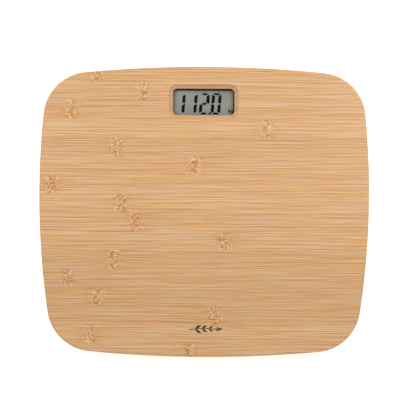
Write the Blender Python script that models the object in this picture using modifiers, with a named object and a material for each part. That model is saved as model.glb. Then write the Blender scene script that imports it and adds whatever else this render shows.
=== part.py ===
"""Digital bathroom scale with a bamboo platform, for Blender 4.5.

The platform stands on four load-cell feet. The display module hangs in a pocket
routed into the platform's underside and is closed by a screwed housing, which
carries the battery door and the unit button. Each foot's wires run to the module
in a routed groove behind a flush cover strip.

Metres, +Z up. The origin is on the floor below the platform's middle, +Y points
to the display and +X to the user's right.
"""

import math

import bmesh
import bpy
from mathutils import Matrix, Vector

MM = 0.001

# Platform --------------------------------------------------------------------
PLATFORM_WIDTH = 300 * MM
PLATFORM_DEPTH = 264 * MM
PLATFORM_THICKNESS = 10 * MM
TOTAL_HEIGHT = 23 * MM
SIDE_BOW_RADIUS = 725 * MM
SIDE_CREST_Y = 16 * MM  # the sides are furthest apart here, on the display's half
END_BOW_RADIUS = 1100 * MM
CORNER_RADIUS = 42 * MM
EDGE_ROUND = 2 * MM

GAP = 0.3 * MM  # between solids that rest on each other
FIT = 0.6 * MM  # between solids that slide in each other
CUT = 1 * MM  # how far a cutter runs past the face that it opens

PLATFORM_TOP = TOTAL_HEIGHT
UNDERSIDE = TOTAL_HEIGHT - PLATFORM_THICKNESS

# Display window and the module below it, from the top down --------------------
WINDOW_CENTRE = (-0.8 * MM, 100.1 * MM)
WINDOW_SIZE = (56 * MM, 23.9 * MM)
WINDOW_CORNER = 4 * MM
WINDOW_SLOPE = (3.6 * MM, 2.4 * MM)  # how far the rim widens, and over what height
LIP_THICKNESS = 4 * MM
POCKET_CENTRE = (0, 100 * MM)
POCKET_SIZE = (74 * MM, 39 * MM)
POCKET_CORNER = 5 * MM
LENS_FLANGE_SIZE = (63 * MM, 31 * MM)
FRAME_SIZE = (72 * MM, 37 * MM)
VIEW_CENTRE = (-1.6 * MM, 99.1 * MM)
VIEW_SIZE = (55.4 * MM, 23.6 * MM)
PANEL_CENTRE = (-0.5 * MM, 99 * MM)
PANEL_SIZE = (60.4 * MM, 28.4 * MM)
PANEL_CONTACT_LEDGE = 4 * MM
BOARD_CENTRE = (0, 89 * MM)
BOARD_SIZE = (86 * MM, 56 * MM)
BOARD_SCREW_X = 33.5 * MM

LIP_BOTTOM = PLATFORM_TOP - LIP_THICKNESS
GASKET = (LIP_BOTTOM - GAP - 0.5 * MM, LIP_BOTTOM - GAP)
LENS_FLANGE = (GASKET[0] - GAP - 1 * MM, GASKET[0] - GAP)
LENS_TOP = LIP_BOTTOM - 0.5 * MM
FRAME_TOP = LENS_FLANGE[0] - GAP
FRAME_LIP_BOTTOM = FRAME_TOP - 0.8 * MM
PANEL = (FRAME_LIP_BOTTOM - GAP - 2.8 * MM, FRAME_LIP_BOTTOM - GAP)
FRONT_GLASS_BOTTOM = PANEL[0] + 1.4 * MM
BOARD = (9.4 * MM, 11 * MM)

# Display housing, battery compartment and unit button ---------------------------
HOUSING_CENTRE = BOARD_CENTRE
HOUSING_SIZE = (110 * MM, 70 * MM)
HOUSING_CORNER = 10 * MM
HOUSING_WALL = 1.6 * MM
HOUSING_BOTTOM = 3 * MM
HOUSING_FLOOR = HOUSING_BOTTOM + HOUSING_WALL
HOUSING_TOP = UNDERSIDE - GAP
POST_OFFSET = (48.5 * MM, 28.5 * MM)
POST_RADIUS = 4.6 * MM
COUNTERBORE_TOP = HOUSING_BOTTOM + 2.3 * MM
REST_OFFSET = (39 * MM, 23 * MM)

WELL_CENTRE = (22 * MM, 71 * MM)
WELL_SIZE = (22 * MM, 28 * MM)
WELL_TOP = BOARD[0] - 0.8 * MM
DOOR_THICKNESS = 1.4 * MM
HINGE_RADIUS = 1 * MM
HINGE_Y = WELL_CENTRE[1] - WELL_SIZE[1] / 2 + HINGE_RADIUS + 0.5 * MM
HINGE_Z = HOUSING_BOTTOM + 1.1 * MM
NOTCH = (11 * MM, 4 * MM, 1 * MM)  # length, radius and depth of the finger notch by the door
BATTERY_CENTRE = (WELL_CENTRE[0], 70.5 * MM)
BATTERY_RADIUS = 10 * MM
BATTERY = (HOUSING_BOTTOM + DOOR_THICKNESS + GAP, HOUSING_BOTTOM + DOOR_THICKNESS + GAP + 3.2 * MM)
CONTACT_WIDTH = 4 * MM
CONTACT_THICKNESS = 0.4 * MM

BUTTON_CENTRE = (-22 * MM, 70 * MM)
BUTTON_RADIUS = 3.2 * MM
BUTTON_BOTTOM = HOUSING_BOTTOM - 0.4 * MM
BUTTON_FLANGE = (HOUSING_FLOOR + GAP, HOUSING_FLOOR + GAP + 0.7 * MM)
BUTTON_DISH = (BUTTON_RADIUS + 2.4 * MM, 0.5 * MM)  # radius and depth of the recess around it
SWITCH = (6.5 * MM, BOARD[0] - GAP)
SWITCH_PLUNGER = (BUTTON_FLANGE[1] + GAP, 8.1 * MM)

# Load-cell feet, from the floor up ------------------------------------------------
FOOT_X = 102 * MM
FOOT_Y = 84 * MM
PAD_RADIUS = 19.2 * MM
PAD_TOP = 2 * MM
SHELL_BOTTOM = 1 * MM
SHELL_RADIUS = 22.8 * MM
SHELL_WALL = 1.8 * MM
SHELL_FLOOR = (PAD_TOP + GAP, PAD_TOP + GAP + 1.9 * MM)
SHELL_RIM = 9 * MM
BARB = (7.2 * MM, 8.9 * MM)
BARB_REACH = 25 * MM
BARB_WIDTH = 7 * MM
BARB_ANGLES = (60, 180, 300)
CELL_SIZE = 34 * MM
CELL = (9.9 * MM, 12.2 * MM)
GAUGE = (7.5 * MM, 13 * MM)  # along the tongue, from the cell's middle
GAUGE_WIDTH = 9 * MM
GAUGE_TOP = CELL[1] + GAP + 1 * MM
BOSS_RADIUS = 5 * MM
FOOT_POCKET_DEPTH = 4.2 * MM
SKIRT_RADIUS = 25.8 * MM
SKIRT_INNER = SHELL_RADIUS + FIT
SKIRT_BOTTOM = 6 * MM
FLANGE = (HOUSING_TOP - 1.5 * MM, HOUSING_TOP)
FLANGE_RADIUS = 29 * MM
EAR_DISTANCE = 30 * MM
EAR_RADIUS = 6 * MM
SEAT_TOP = UNDERSIDE + FOOT_POCKET_DEPTH - GAP
SEAT_CEILING = SEAT_TOP - 1.8 * MM

# Wires, whose grooves run from each foot to the board ---------------------------------
LEAD_RADIUS = 0.75 * MM
LEAD_START = GAUGE[1] + GAP
REAR_LEAD_END = (39 * MM, 84 * MM)
FRONT_LEAD_END = (35 * MM, 67 * MM)
GROOVE_WIDTH = 6 * MM
GROOVE_DEPTH = 3.5 * MM
COVER_THICKNESS = 1 * MM
LEAD_ON_CELL_Z = 13.3 * MM
LEAD_IN_GROOVE_Z = UNDERSIDE + COVER_THICKNESS + GAP + LEAD_RADIUS
LEAD_ON_BOARD_Z = BOARD[1] + GAP + LEAD_RADIUS

# Screws: shank radius, shank length, head radius, head height ---------------------------
FOOT_SCREW = (1.45 * MM, 7 * MM, 2.8 * MM, 1.9 * MM)
HOUSING_SCREW = (1.45 * MM, 13 * MM, 2.8 * MM, 1.9 * MM)
BOARD_SCREW = (0.95 * MM, 5.5 * MM, 1.8 * MM, 1.2 * MM)

ROUND_STEPS = 24
SMALL_STEPS = 12


# Scene, materials and objects -------------------------------------------------------
def clear_scene():
    for obj in list(bpy.data.objects):
        bpy.data.objects.remove(obj)


def new_collection(name):
    collection = bpy.data.collections.new(name)
    bpy.context.scene.collection.children.link(collection)
    return collection


def new_material(name, colour, roughness, metallic=0.0, alpha=1.0):
    material = bpy.data.materials.new(name)
    material.use_nodes = True
    shader = material.node_tree.nodes["Principled BSDF"]
    shader.inputs["Base Color"].default_value = (*colour, 1)
    shader.inputs["Roughness"].default_value = roughness
    shader.inputs["Metallic"].default_value = metallic
    shader.inputs["Alpha"].default_value = alpha
    return material


clear_scene()
PARTS = new_collection("bathroom_scale")
CUTTERS = new_collection("cutters")

BAMBOO = new_material("bamboo", (0.70, 0.43, 0.21), 0.45)
CLEAR = new_material("clear_plastic", (0.80, 0.88, 0.87), 0.08, alpha=0.25)
LCD = new_material("lcd_glass", (0.27, 0.28, 0.23), 0.25)
BLACK = new_material("black_plastic", (0.02, 0.02, 0.02), 0.5)
GREY = new_material("grey_plastic", (0.10, 0.10, 0.105), 0.55)
RUBBER = new_material("rubber", (0.035, 0.035, 0.035), 0.85)
SILICONE = new_material("silicone", (0.85, 0.85, 0.82), 0.5)
FIBREGLASS = new_material("circuit_board", (0.02, 0.16, 0.06), 0.4)
EPOXY = new_material("epoxy", (0.012, 0.012, 0.012), 0.3)
STEEL = new_material("zinc_steel", (0.62, 0.62, 0.60), 0.35, metallic=1.0)
WIRE = new_material("wire", (0.45, 0.03, 0.03), 0.45)


def add_object(name, data, material=None, location=(0, 0, 0), turn=0.0, parent=None):
    """A part when it has a material, and otherwise a helper for a Boolean modifier."""
    obj = bpy.data.objects.new(name, data)
    obj.location = location
    obj.rotation_euler.z = turn
    obj.parent = parent
    if material is None:
        CUTTERS.objects.link(obj)
        obj.hide_render = True
        obj.display_type = "WIRE"
    else:
        PARTS.objects.link(obj)
        if material.name not in obj.data.materials:
            obj.data.materials.append(material)
    return obj


def add_pivot(name, location, turn=0.0):
    """An empty on a joint's axis, for the pieces that move together."""
    pivot = bpy.data.objects.new(name, None)
    pivot.location = location
    pivot.rotation_euler.z = turn
    pivot.empty_display_size = 5 * MM
    PARTS.objects.link(pivot)
    bpy.context.view_layer.update()
    return pivot


def ride(obj, pivot):
    """Parents obj to pivot and leaves it where it is."""
    obj.parent = pivot
    obj.matrix_parent_inverse = pivot.matrix_world.inverted()


def shade(mesh):
    mesh.shade_smooth()
    mesh.set_sharp_from_angle(angle=math.radians(35))


def evaluated_mesh(obj):
    """The mesh that obj's curve or modifiers make, in world space, with its seams welded."""
    bpy.context.view_layer.update()
    graph = bpy.context.evaluated_depsgraph_get()
    mesh = bpy.data.meshes.new_from_object(obj.evaluated_get(graph))
    mesh.transform(obj.matrix_world)
    shape = bmesh.new()
    shape.from_mesh(mesh)
    bmesh.ops.remove_doubles(shape, verts=shape.verts, dist=0.001 * MM)
    bmesh.ops.dissolve_limit(
        shape, angle_limit=math.radians(0.2), verts=shape.verts, edges=shape.edges
    )
    bmesh.ops.recalc_face_normals(shape, faces=shape.faces)
    shape.to_mesh(mesh)
    shape.free()
    return mesh


def bake(obj):
    """obj's evaluated mesh, for pieces that share it. obj and its helpers are removed."""
    mesh = evaluated_mesh(obj)
    shade(mesh)
    for modifier in list(obj.modifiers):
        if modifier.type == "BOOLEAN":
            bpy.data.objects.remove(modifier.object)
    bpy.data.objects.remove(obj)
    return mesh


def combine(obj, operation, others):
    for other in others:
        modifier = obj.modifiers.new(other.name, "BOOLEAN")
        modifier.operation = operation
        modifier.solver = "EXACT"
        modifier.object = other
    return obj


def cut(obj, *others):
    return combine(obj, "DIFFERENCE", others)


def join(obj, *others):
    return combine(obj, "UNION", others)


def bevel(obj, width, segments, at_z=None):
    """Rounds the sharp edges, or only those whose ends are both at the height at_z."""
    modifier = obj.modifiers.new("Rounded edges", "BEVEL")
    modifier.width = width
    modifier.segments = segments
    if at_z is None:
        modifier.limit_method = "ANGLE"
        modifier.angle_limit = math.radians(40)
        return obj
    modifier.limit_method = "WEIGHT"
    mesh = obj.data
    weights = mesh.attributes.new("bevel_weight_edge", "FLOAT", "EDGE").data
    for edge in mesh.edges:
        ends = [mesh.vertices[i].co.z for i in edge.vertices]
        weights[edge.index].value = float(all(abs(z - at_z) < 0.01 * MM for z in ends))
    return obj


# Shapes ---------------------------------------------------------------------------
def box(name, x, y, z, material=None):
    """A box between two ends on each axis."""
    ends = [Vector(corner) for corner in zip(x, y, z)]
    size = ends[1] - ends[0]
    matrix = Matrix.Translation((ends[0] + ends[1]) / 2) @ Matrix.Diagonal((*size, 1))
    shape = bmesh.new()
    bmesh.ops.create_cube(shape, size=1, matrix=matrix)
    mesh = bpy.data.meshes.new(name)
    shape.to_mesh(mesh)
    shape.free()
    return add_object(name, mesh, material)


def cylinder(name, radius, z, centre=(0, 0), material=None, steps=SMALL_STEPS):
    shape = bmesh.new()
    bmesh.ops.create_cone(
        shape,
        cap_ends=True,
        segments=steps,
        radius1=radius,
        radius2=radius,
        depth=z[1] - z[0],
        matrix=Matrix.Translation((*centre, (z[0] + z[1]) / 2)),
    )
    mesh = bpy.data.meshes.new(name)
    shape.to_mesh(mesh)
    shape.free()
    shade(mesh)
    return add_object(name, mesh, material)


def turned(name, profile, material=None, centre=(0, 0), steps=ROUND_STEPS):
    """Turns a profile of (radius, z) about Z. It runs down the outer side, top to bottom."""
    shape = bmesh.new()
    points = [shape.verts.new((radius, 0, z)) for radius, z in profile]
    for pair in zip(points, points[1:]):
        shape.edges.new(pair)
    mesh = bpy.data.meshes.new(name)
    shape.to_mesh(mesh)
    shape.free()
    obj = add_object(name, mesh, material, location=(*centre, 0))
    screw = obj.modifiers.new("Turned", "SCREW")
    screw.axis = "Z"
    screw.angle = math.tau
    screw.steps = screw.render_steps = steps
    screw.use_merge_vertices = True
    screw.merge_threshold = 0.001 * MM
    screw.use_smooth_shade = False
    return obj


def plate(name, outline, z, material=None):
    """A flat outline of (x, y) points between two heights."""
    curve = bpy.data.curves.new(name, "CURVE")
    curve.dimensions = "2D"
    curve.fill_mode = "BOTH"
    curve.extrude = (z[1] - z[0]) / 2
    spline = curve.splines.new("POLY")
    spline.points.add(len(outline) - 1)
    for point, (x, y) in zip(spline.points, outline):
        point.co = (x, y, 0, 1)
    spline.use_cyclic_u = True
    flat = add_object(name, curve, location=(0, 0, (z[0] + z[1]) / 2))
    mesh = evaluated_mesh(flat)
    bpy.data.objects.remove(flat)
    shade(mesh)
    return add_object(name, mesh, material)


def upright(obj, matrix):
    """Moves a plate's mesh, drawn flat as (x, y), to another plane."""
    obj.data.transform(matrix)
    return obj


ALONG_X = Matrix(((0, 0, 1, 0), (1, 0, 0, 0), (0, 1, 0, 0), (0, 0, 0, 1)))  # (y, z) extruded along X
ALONG_Y = Matrix(((1, 0, 0, 0), (0, 0, -1, 0), (0, 1, 0, 0), (0, 0, 0, 1)))  # (x, z) extruded along Y


def loft(name, sections):
    """A closed skin through stacked sections that have equally many points."""
    shape = bmesh.new()
    rings = [[shape.verts.new(point) for point in section] for section in sections]
    for low, high in zip(rings, rings[1:]):
        for i, point in enumerate(low):
            after = (i + 1) % len(low)
            shape.faces.new((point, low[after], high[after], high[i]))
    shape.faces.new(list(reversed(rings[0])))
    shape.faces.new(rings[-1])
    mesh = bpy.data.meshes.new(name)
    shape.to_mesh(mesh)
    shape.free()
    return add_object(name, mesh)


def arc(centre, radius, start, end, steps):
    """Points on an arc from angle start to angle end, in radians, with both ends included."""
    angles = [start + (end - start) * i / steps for i in range(steps + 1)]
    return [(centre[0] + radius * math.cos(a), centre[1] + radius * math.sin(a)) for a in angles]


def rounded_rectangle(size, corner, centre=(0, 0), steps=4):
    points = []
    for quarter, (sx, sy) in enumerate(((1, 1), (-1, 1), (-1, -1), (1, -1))):
        middle = (centre[0] + sx * (size[0] / 2 - corner), centre[1] + sy * (size[1] / 2 - corner))
        start = quarter * math.pi / 2
        points += arc(middle, corner, start, start + math.pi / 2, steps)
    return points


def slot(start, end, width, steps=6):
    """Two half circles, around (start, 0) and (end, 0), joined by straight sides."""
    right = arc((end, 0), width / 2, -math.pi / 2, math.pi / 2, steps)
    return right + arc((start, 0), width / 2, math.pi / 2, 3 * math.pi / 2, steps)


def mirrored(half):
    """A closed outline from its +X half, which runs from the front end up to the rear end."""
    return half + [(-x, y) for x, y in reversed(half[1:-1])]


# Platform -----------------------------------------------------------------------------
def right_crossing(first, first_radius, second, second_radius):
    """The point furthest to +X where two circles cross."""
    apart = Vector(second) - Vector(first)
    along = (first_radius**2 - second_radius**2 + apart.length_squared) / (2 * apart.length)
    aside = math.sqrt(first_radius**2 - along**2)
    unit = apart.normalized()
    middle = Vector(first) + unit * along
    across = Vector((-unit.y, unit.x)) * aside
    return max(middle + across, middle - across, key=lambda point: point.x)


def heading(start, end):
    return math.atan2(end[1] - start[1], end[0] - start[0])


def platform_outline(end_steps=6, corner_steps=9, side_steps=10):
    """Four bowed sides, each an arc, with tangent arcs as corners."""
    side = (PLATFORM_WIDTH / 2 - SIDE_BOW_RADIUS, SIDE_CREST_Y)
    front = (0, END_BOW_RADIUS - PLATFORM_DEPTH / 2)
    rear = (0, PLATFORM_DEPTH / 2 - END_BOW_RADIUS)
    low, high = (
        right_crossing(side, SIDE_BOW_RADIUS - CORNER_RADIUS, end, END_BOW_RADIUS - CORNER_RADIUS)
        for end in (front, rear)
    )
    front_turn, rear_turn = heading(front, low), heading(rear, high)
    low_turn, high_turn = heading(side, low), heading(side, high)
    return mirrored(
        arc(front, END_BOW_RADIUS, -math.pi / 2, front_turn, end_steps)[:-1]
        + arc(low, CORNER_RADIUS, front_turn, low_turn, corner_steps)[:-1]
        + arc(side, SIDE_BOW_RADIUS, low_turn, high_turn, side_steps)[:-1]
        + arc(high, CORNER_RADIUS, high_turn, rear_turn, corner_steps)[:-1]
        + arc(rear, END_BOW_RADIUS, rear_turn, math.pi / 2, end_steps)
    )


def window_cutter(round_steps=2):
    """The window's straight throat, then a slope with softened edges up to the top."""

    def section(z, widening):
        size = [side + 2 * widening for side in WINDOW_SIZE]
        outline = rounded_rectangle(size, WINDOW_CORNER + widening, WINDOW_CENTRE, steps=5)
        return [(x, y, z) for x, y in outline]

    width, height = WINDOW_SLOPE
    slope = math.atan2(height, width)
    inner, outer = 0.8 * MM, 3 * MM  # radii of the slope's lower and upper edges
    lower = arc((inner, 0), inner, math.pi, math.pi / 2 + slope, round_steps)
    rise = PLATFORM_TOP - height - inner * math.tan((math.pi / 2 - slope) / 2)
    lower = [(x, rise + z) for x, z in lower]
    reach = outer * math.tan(slope / 2)
    upper = arc((width + reach, PLATFORM_TOP - outer), outer, math.pi / 2 + slope, math.pi / 2, round_steps)
    rim = [section(z, x) for x, z in lower + upper]
    top = section(PLATFORM_TOP + CUT, width + reach)
    return loft("window_cutter", [section(LIP_BOTTOM - CUT, 0), *rim, top])


def pilot_hole(name, screw, head_top, centre):
    radius, length = screw[:2]
    return cylinder(name, radius + GAP, (UNDERSIDE - CUT, head_top + length + 0.5 * MM), centre)


def foot_places():
    """Each foot's name, middle, end of its wires, the way to that end and how far it is."""
    for end, y, lead_end in (("front", -FOOT_Y, FRONT_LEAD_END), ("rear", FOOT_Y, REAR_LEAD_END)):
        for side, sign in (("left", -1), ("right", 1)):
            middle = Vector((sign * FOOT_X, y))
            along = Vector((sign * lead_end[0], lead_end[1])) - middle
            yield f"{end}_{side}", end, middle, math.atan2(along.y, along.x), along.length


def at_foot(middle, turn, x, y):
    """World (x, y) of a point given in a foot's own axes, where +X runs along its wires."""
    offset = Matrix.Rotation(turn, 2) @ Vector((x, y))
    return middle + offset


def housing_screw_places():
    for x in (-1, 1):
        for y in (-1, 1):
            yield (
                f"{'front' if y < 0 else 'rear'}_{'left' if x < 0 else 'right'}",
                (HOUSING_CENTRE[0] + x * POST_OFFSET[0], HOUSING_CENTRE[1] + y * POST_OFFSET[1]),
            )


def make_platform():
    platform = plate("bamboo_platform", platform_outline(), (UNDERSIDE, PLATFORM_TOP), BAMBOO)
    bevel(platform, EDGE_ROUND, 3)
    pocket = rounded_rectangle(POCKET_SIZE, POCKET_CORNER, POCKET_CENTRE)
    cut(platform, window_cutter(), plate("display_pocket", pocket, (UNDERSIDE - CUT, LIP_BOTTOM)))
    for name, _, middle, turn, length in foot_places():
        well = (UNDERSIDE - CUT, UNDERSIDE + FOOT_POCKET_DEPTH)
        groove = plate(
            f"groove_{name}",
            slot(SKIRT_RADIUS - 4 * MM, length + 1 * MM, GROOVE_WIDTH),
            (UNDERSIDE - CUT, UNDERSIDE + GROOVE_DEPTH),
        )
        groove.location.xy = middle
        groove.rotation_euler.z = turn
        pocket = cylinder(f"pocket_{name}", SKIRT_RADIUS + GAP, well, middle, steps=ROUND_STEPS)
        cut(platform, pocket, groove)
        for side in (-1, 1):
            place = at_foot(middle, turn, 0, side * EAR_DISTANCE)
            hole = pilot_hole(f"foot_pilot_{name}_{side}", FOOT_SCREW, FLANGE[0] - GAP, place)
            cut(platform, hole)
    for name, place in housing_screw_places():
        cut(platform, pilot_hole(f"pilot_{name}", HOUSING_SCREW, COUNTERBORE_TOP - GAP, place))


# Display module ----------------------------------------------------------------------
def make_lens():
    """A clear window whose raised middle stands in the platform's opening."""
    flange = rounded_rectangle(LENS_FLANGE_SIZE, 5 * MM, WINDOW_CENTRE)
    lens = plate("display_window", flange, LENS_FLANGE, CLEAR)
    raised = [side - 0.8 * MM for side in WINDOW_SIZE]
    outline = rounded_rectangle(raised, WINDOW_CORNER - 0.4 * MM, WINDOW_CENTRE)
    join(lens, plate("lens_raised", outline, (LENS_FLANGE[0] + 0.5 * MM, LENS_TOP)))


def make_gasket():
    outer = [side - 0.6 * MM for side in LENS_FLANGE_SIZE]
    inner = [side + 1.2 * MM for side in WINDOW_SIZE]
    gasket = plate(
        "window_gasket", rounded_rectangle(outer, 4.7 * MM, WINDOW_CENTRE), GASKET, RUBBER
    )
    opening = rounded_rectangle(inner, WINDOW_CORNER + 0.6 * MM, WINDOW_CENTRE)
    cut(gasket, plate("gasket_opening", opening, (GASKET[0] - CUT, GASKET[1] + CUT)))


def make_lcd_frame():
    """A black frame that holds the LCD under its lip and takes the board's two screws."""
    outline = rounded_rectangle(FRAME_SIZE, 4 * MM, POCKET_CENTRE)
    frame = plate("lcd_frame", outline, (BOARD[1] + GAP, FRAME_TOP), BLACK)
    cavity = [side + 2 * GAP for side in PANEL_SIZE]
    cut(
        frame,
        plate(
            "frame_view",
            rounded_rectangle(VIEW_SIZE, 1 * MM, VIEW_CENTRE, 2),
            (PANEL[0], FRAME_TOP + CUT),
        ),
        plate(
            "frame_cavity",
            rounded_rectangle(cavity, 0.5 * MM, PANEL_CENTRE, 1),
            (BOARD[1] - CUT, FRAME_LIP_BOTTOM),
        ),
    )
    for side in (-1, 1):
        hole = (BOARD[1] - CUT, FRAME_LIP_BOTTOM - 0.5 * MM)
        place = (side * BOARD_SCREW_X, POCKET_CENTRE[1])
        cut(frame, cylinder(f"frame_pilot_{side}", BOARD_SCREW[0] + GAP, hole, place))


def make_lcd_panel():
    """Two glasses, of which the front one runs on to a ledge with the contacts."""
    left, right = (PANEL_CENTRE[0] + side * PANEL_SIZE[0] / 2 for side in (-1, 1))
    low, high = (PANEL_CENTRE[1] + side * PANEL_SIZE[1] / 2 for side in (-1, 1))
    panel = box("lcd_panel", (left, right), (low, high), (FRONT_GLASS_BOTTOM, PANEL[1]), LCD)
    inset = 0.4 * MM
    rear = box(
        "rear_glass",
        (left + inset, right - inset),
        (low + PANEL_CONTACT_LEDGE, high - inset),
        (PANEL[0], FRONT_GLASS_BOTTOM + inset),
    )
    join(panel, rear)


def make_lcd_connector():
    """The conductive rubber strip between the board and the contact ledge."""
    low = PANEL_CENTRE[1] - PANEL_SIZE[1] / 2 + 0.8 * MM
    box(
        "lcd_connector",
        (PANEL_CENTRE[0] - 26 * MM, PANEL_CENTRE[0] + 26 * MM),
        (low, low + 2.4 * MM),
        (BOARD[1] + GAP, FRONT_GLASS_BOTTOM - GAP),
        SILICONE,
    )


def make_board():
    outline = rounded_rectangle(BOARD_SIZE, 2 * MM, BOARD_CENTRE, 2)
    board = plate("main_board", outline, BOARD, FIBREGLASS)
    for side in (-1, 1):
        place = (side * BOARD_SCREW_X, POCKET_CENTRE[1])
        hole = (BOARD[0] - CUT, BOARD[1] + CUT)
        cut(board, cylinder(f"board_hole_{side}", BOARD_SCREW[0] + GAP, hole, place))
    foot = BOARD[1] + GAP
    blob = [(6.5, 0), (6.1, 0.5), (4.6, 1.0), (2.4, 1.25), (0, 1.3)]
    profile = [(r * MM, foot + z * MM) for r, z in reversed(blob)] + [(0, foot)]
    turned("controller_chip", profile, EPOXY, centre=(0, 70 * MM), steps=16)
    cylinder("capacitor", 2.5 * MM, (5.2 * MM, BOARD[0] - GAP), (-22 * MM, 104 * MM), BLACK, 16)


def contact_strip(name, outline):
    """A strip of spring steel, bent in the YZ plane and centred on the battery."""
    strip = plate(name, outline, (-CONTACT_WIDTH / 2, CONTACT_WIDTH / 2), STEEL)
    upright(strip, Matrix.Translation((BATTERY_CENTRE[0], 0, 0)) @ ALONG_X)


def make_battery():
    rim = 0.4 * MM
    profile = [
        (0, BATTERY[1]),
        (BATTERY_RADIUS - 2 * MM, BATTERY[1]),
        (BATTERY_RADIUS - 1.5 * MM, BATTERY[1] - rim),
        (BATTERY_RADIUS, BATTERY[1] - 2 * rim),
        (BATTERY_RADIUS, BATTERY[0] + rim),
        (BATTERY_RADIUS - rim, BATTERY[0]),
        (0, BATTERY[0]),
    ]
    turned("battery_cell", profile, STEEL, centre=BATTERY_CENTRE)

    thick = CONTACT_THICKNESS
    top = BOARD[0] - GAP
    arm = BATTERY[1] + GAP
    y = BOARD_CENTRE[1] - BOARD_SIZE[1] / 2 + 1 * MM
    bend, tip = y + 5 * MM, BATTERY_CENTRE[1] + 5 * MM
    contact_strip(
        "battery_contact_negative",
        [(y, top - thick), (bend, top - thick), (bend + 2 * MM, arm), (tip, arm)]
        + [(tip, arm + thick), (bend + 2.2 * MM, arm + thick), (bend + 0.2 * MM, top), (y, top)],
    )
    rim_y = BATTERY_CENTRE[1] + BATTERY_RADIUS + GAP
    far = rim_y + 3.2 * MM
    foot = BATTERY[0] + 0.6 * MM
    contact_strip(
        "battery_contact_positive",
        [(rim_y, foot), (rim_y + thick, foot), (rim_y + thick, top - thick)]
        + [(far, top - thick), (far, top), (rim_y, top)],
    )


# Housing, door and button --------------------------------------------------------------
def make_housing():
    outline = rounded_rectangle(HOUSING_SIZE, HOUSING_CORNER, HOUSING_CENTRE, 6)
    housing = plate("display_housing", outline, (HOUSING_BOTTOM, HOUSING_TOP), GREY)
    bevel(housing, 1.5 * MM, 2, at_z=HOUSING_BOTTOM)
    inside = [side - 2 * HOUSING_WALL for side in HOUSING_SIZE]
    cavity = rounded_rectangle(inside, HOUSING_CORNER - HOUSING_WALL, HOUSING_CENTRE, 6)
    cut(housing, plate("housing_cavity", cavity, (HOUSING_FLOOR, HOUSING_TOP + CUT)))

    root = HOUSING_FLOOR - 0.5 * MM  # ribs and posts are sunk this far into the floor
    for name, place in housing_screw_places():
        post = (root, HOUSING_TOP - 0.2 * MM)
        join(housing, cylinder(f"post_{name}", POST_RADIUS, post, place, steps=16))
    for x in (-1, 1):
        for y in (-1, 1):
            place = (HOUSING_CENTRE[0] + x * REST_OFFSET[0], HOUSING_CENTRE[1] + y * REST_OFFSET[1])
            rest = (root, BOARD[0] - GAP)
            join(housing, cylinder(f"board_rest_{x}_{y}", 2.5 * MM, rest, place))
    walls = [side + 2 * HOUSING_WALL for side in WELL_SIZE]
    block = rounded_rectangle(walls, 1.5 * MM, WELL_CENTRE, 2)
    join(housing, plate("well_walls", block, (root, WELL_TOP)))

    well = rounded_rectangle(WELL_SIZE, 0.5 * MM, WELL_CENTRE, 1)
    axle = cylinder("hinge_holes", 0.75 * MM, (-12.2 * MM, 12.2 * MM))
    upright(axle, Matrix.Translation((WELL_CENTRE[0], HINGE_Y, HINGE_Z)) @ ALONG_X)
    length, radius, depth = NOTCH
    notch = cylinder("finger_notch", radius, (-length / 2, length / 2), steps=ROUND_STEPS)
    notch_y = WELL_CENTRE[1] + WELL_SIZE[1] / 2 + 1.2 * MM
    notch_z = HOUSING_BOTTOM + depth - radius
    upright(notch, Matrix.Translation((WELL_CENTRE[0], notch_y, notch_z)) @ ALONG_X)
    dish = (HOUSING_BOTTOM - CUT, HOUSING_BOTTOM + BUTTON_DISH[1])
    cut(
        housing,
        plate("well_opening", well, (HOUSING_BOTTOM - CUT, WELL_TOP + CUT)),
        axle,
        notch,
        cylinder("button_dish", BUTTON_DISH[0], dish, BUTTON_CENTRE, steps=ROUND_STEPS),
        cylinder(
            "button_hole",
            BUTTON_RADIUS + GAP,
            (HOUSING_BOTTOM - CUT, HOUSING_FLOOR + CUT),
            BUTTON_CENTRE,
            steps=16,
        ),
    )
    for name, place in housing_screw_places():
        bore = (HOUSING_BOTTOM - CUT, COUNTERBORE_TOP)
        hole = (COUNTERBORE_TOP - CUT, HOUSING_TOP + CUT)
        cut(
            housing,
            cylinder(f"counterbore_{name}", HOUSING_SCREW[2] + 0.4 * MM, bore, place, steps=16),
            cylinder(f"post_hole_{name}", HOUSING_SCREW[0] + GAP, hole, place),
        )


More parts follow.
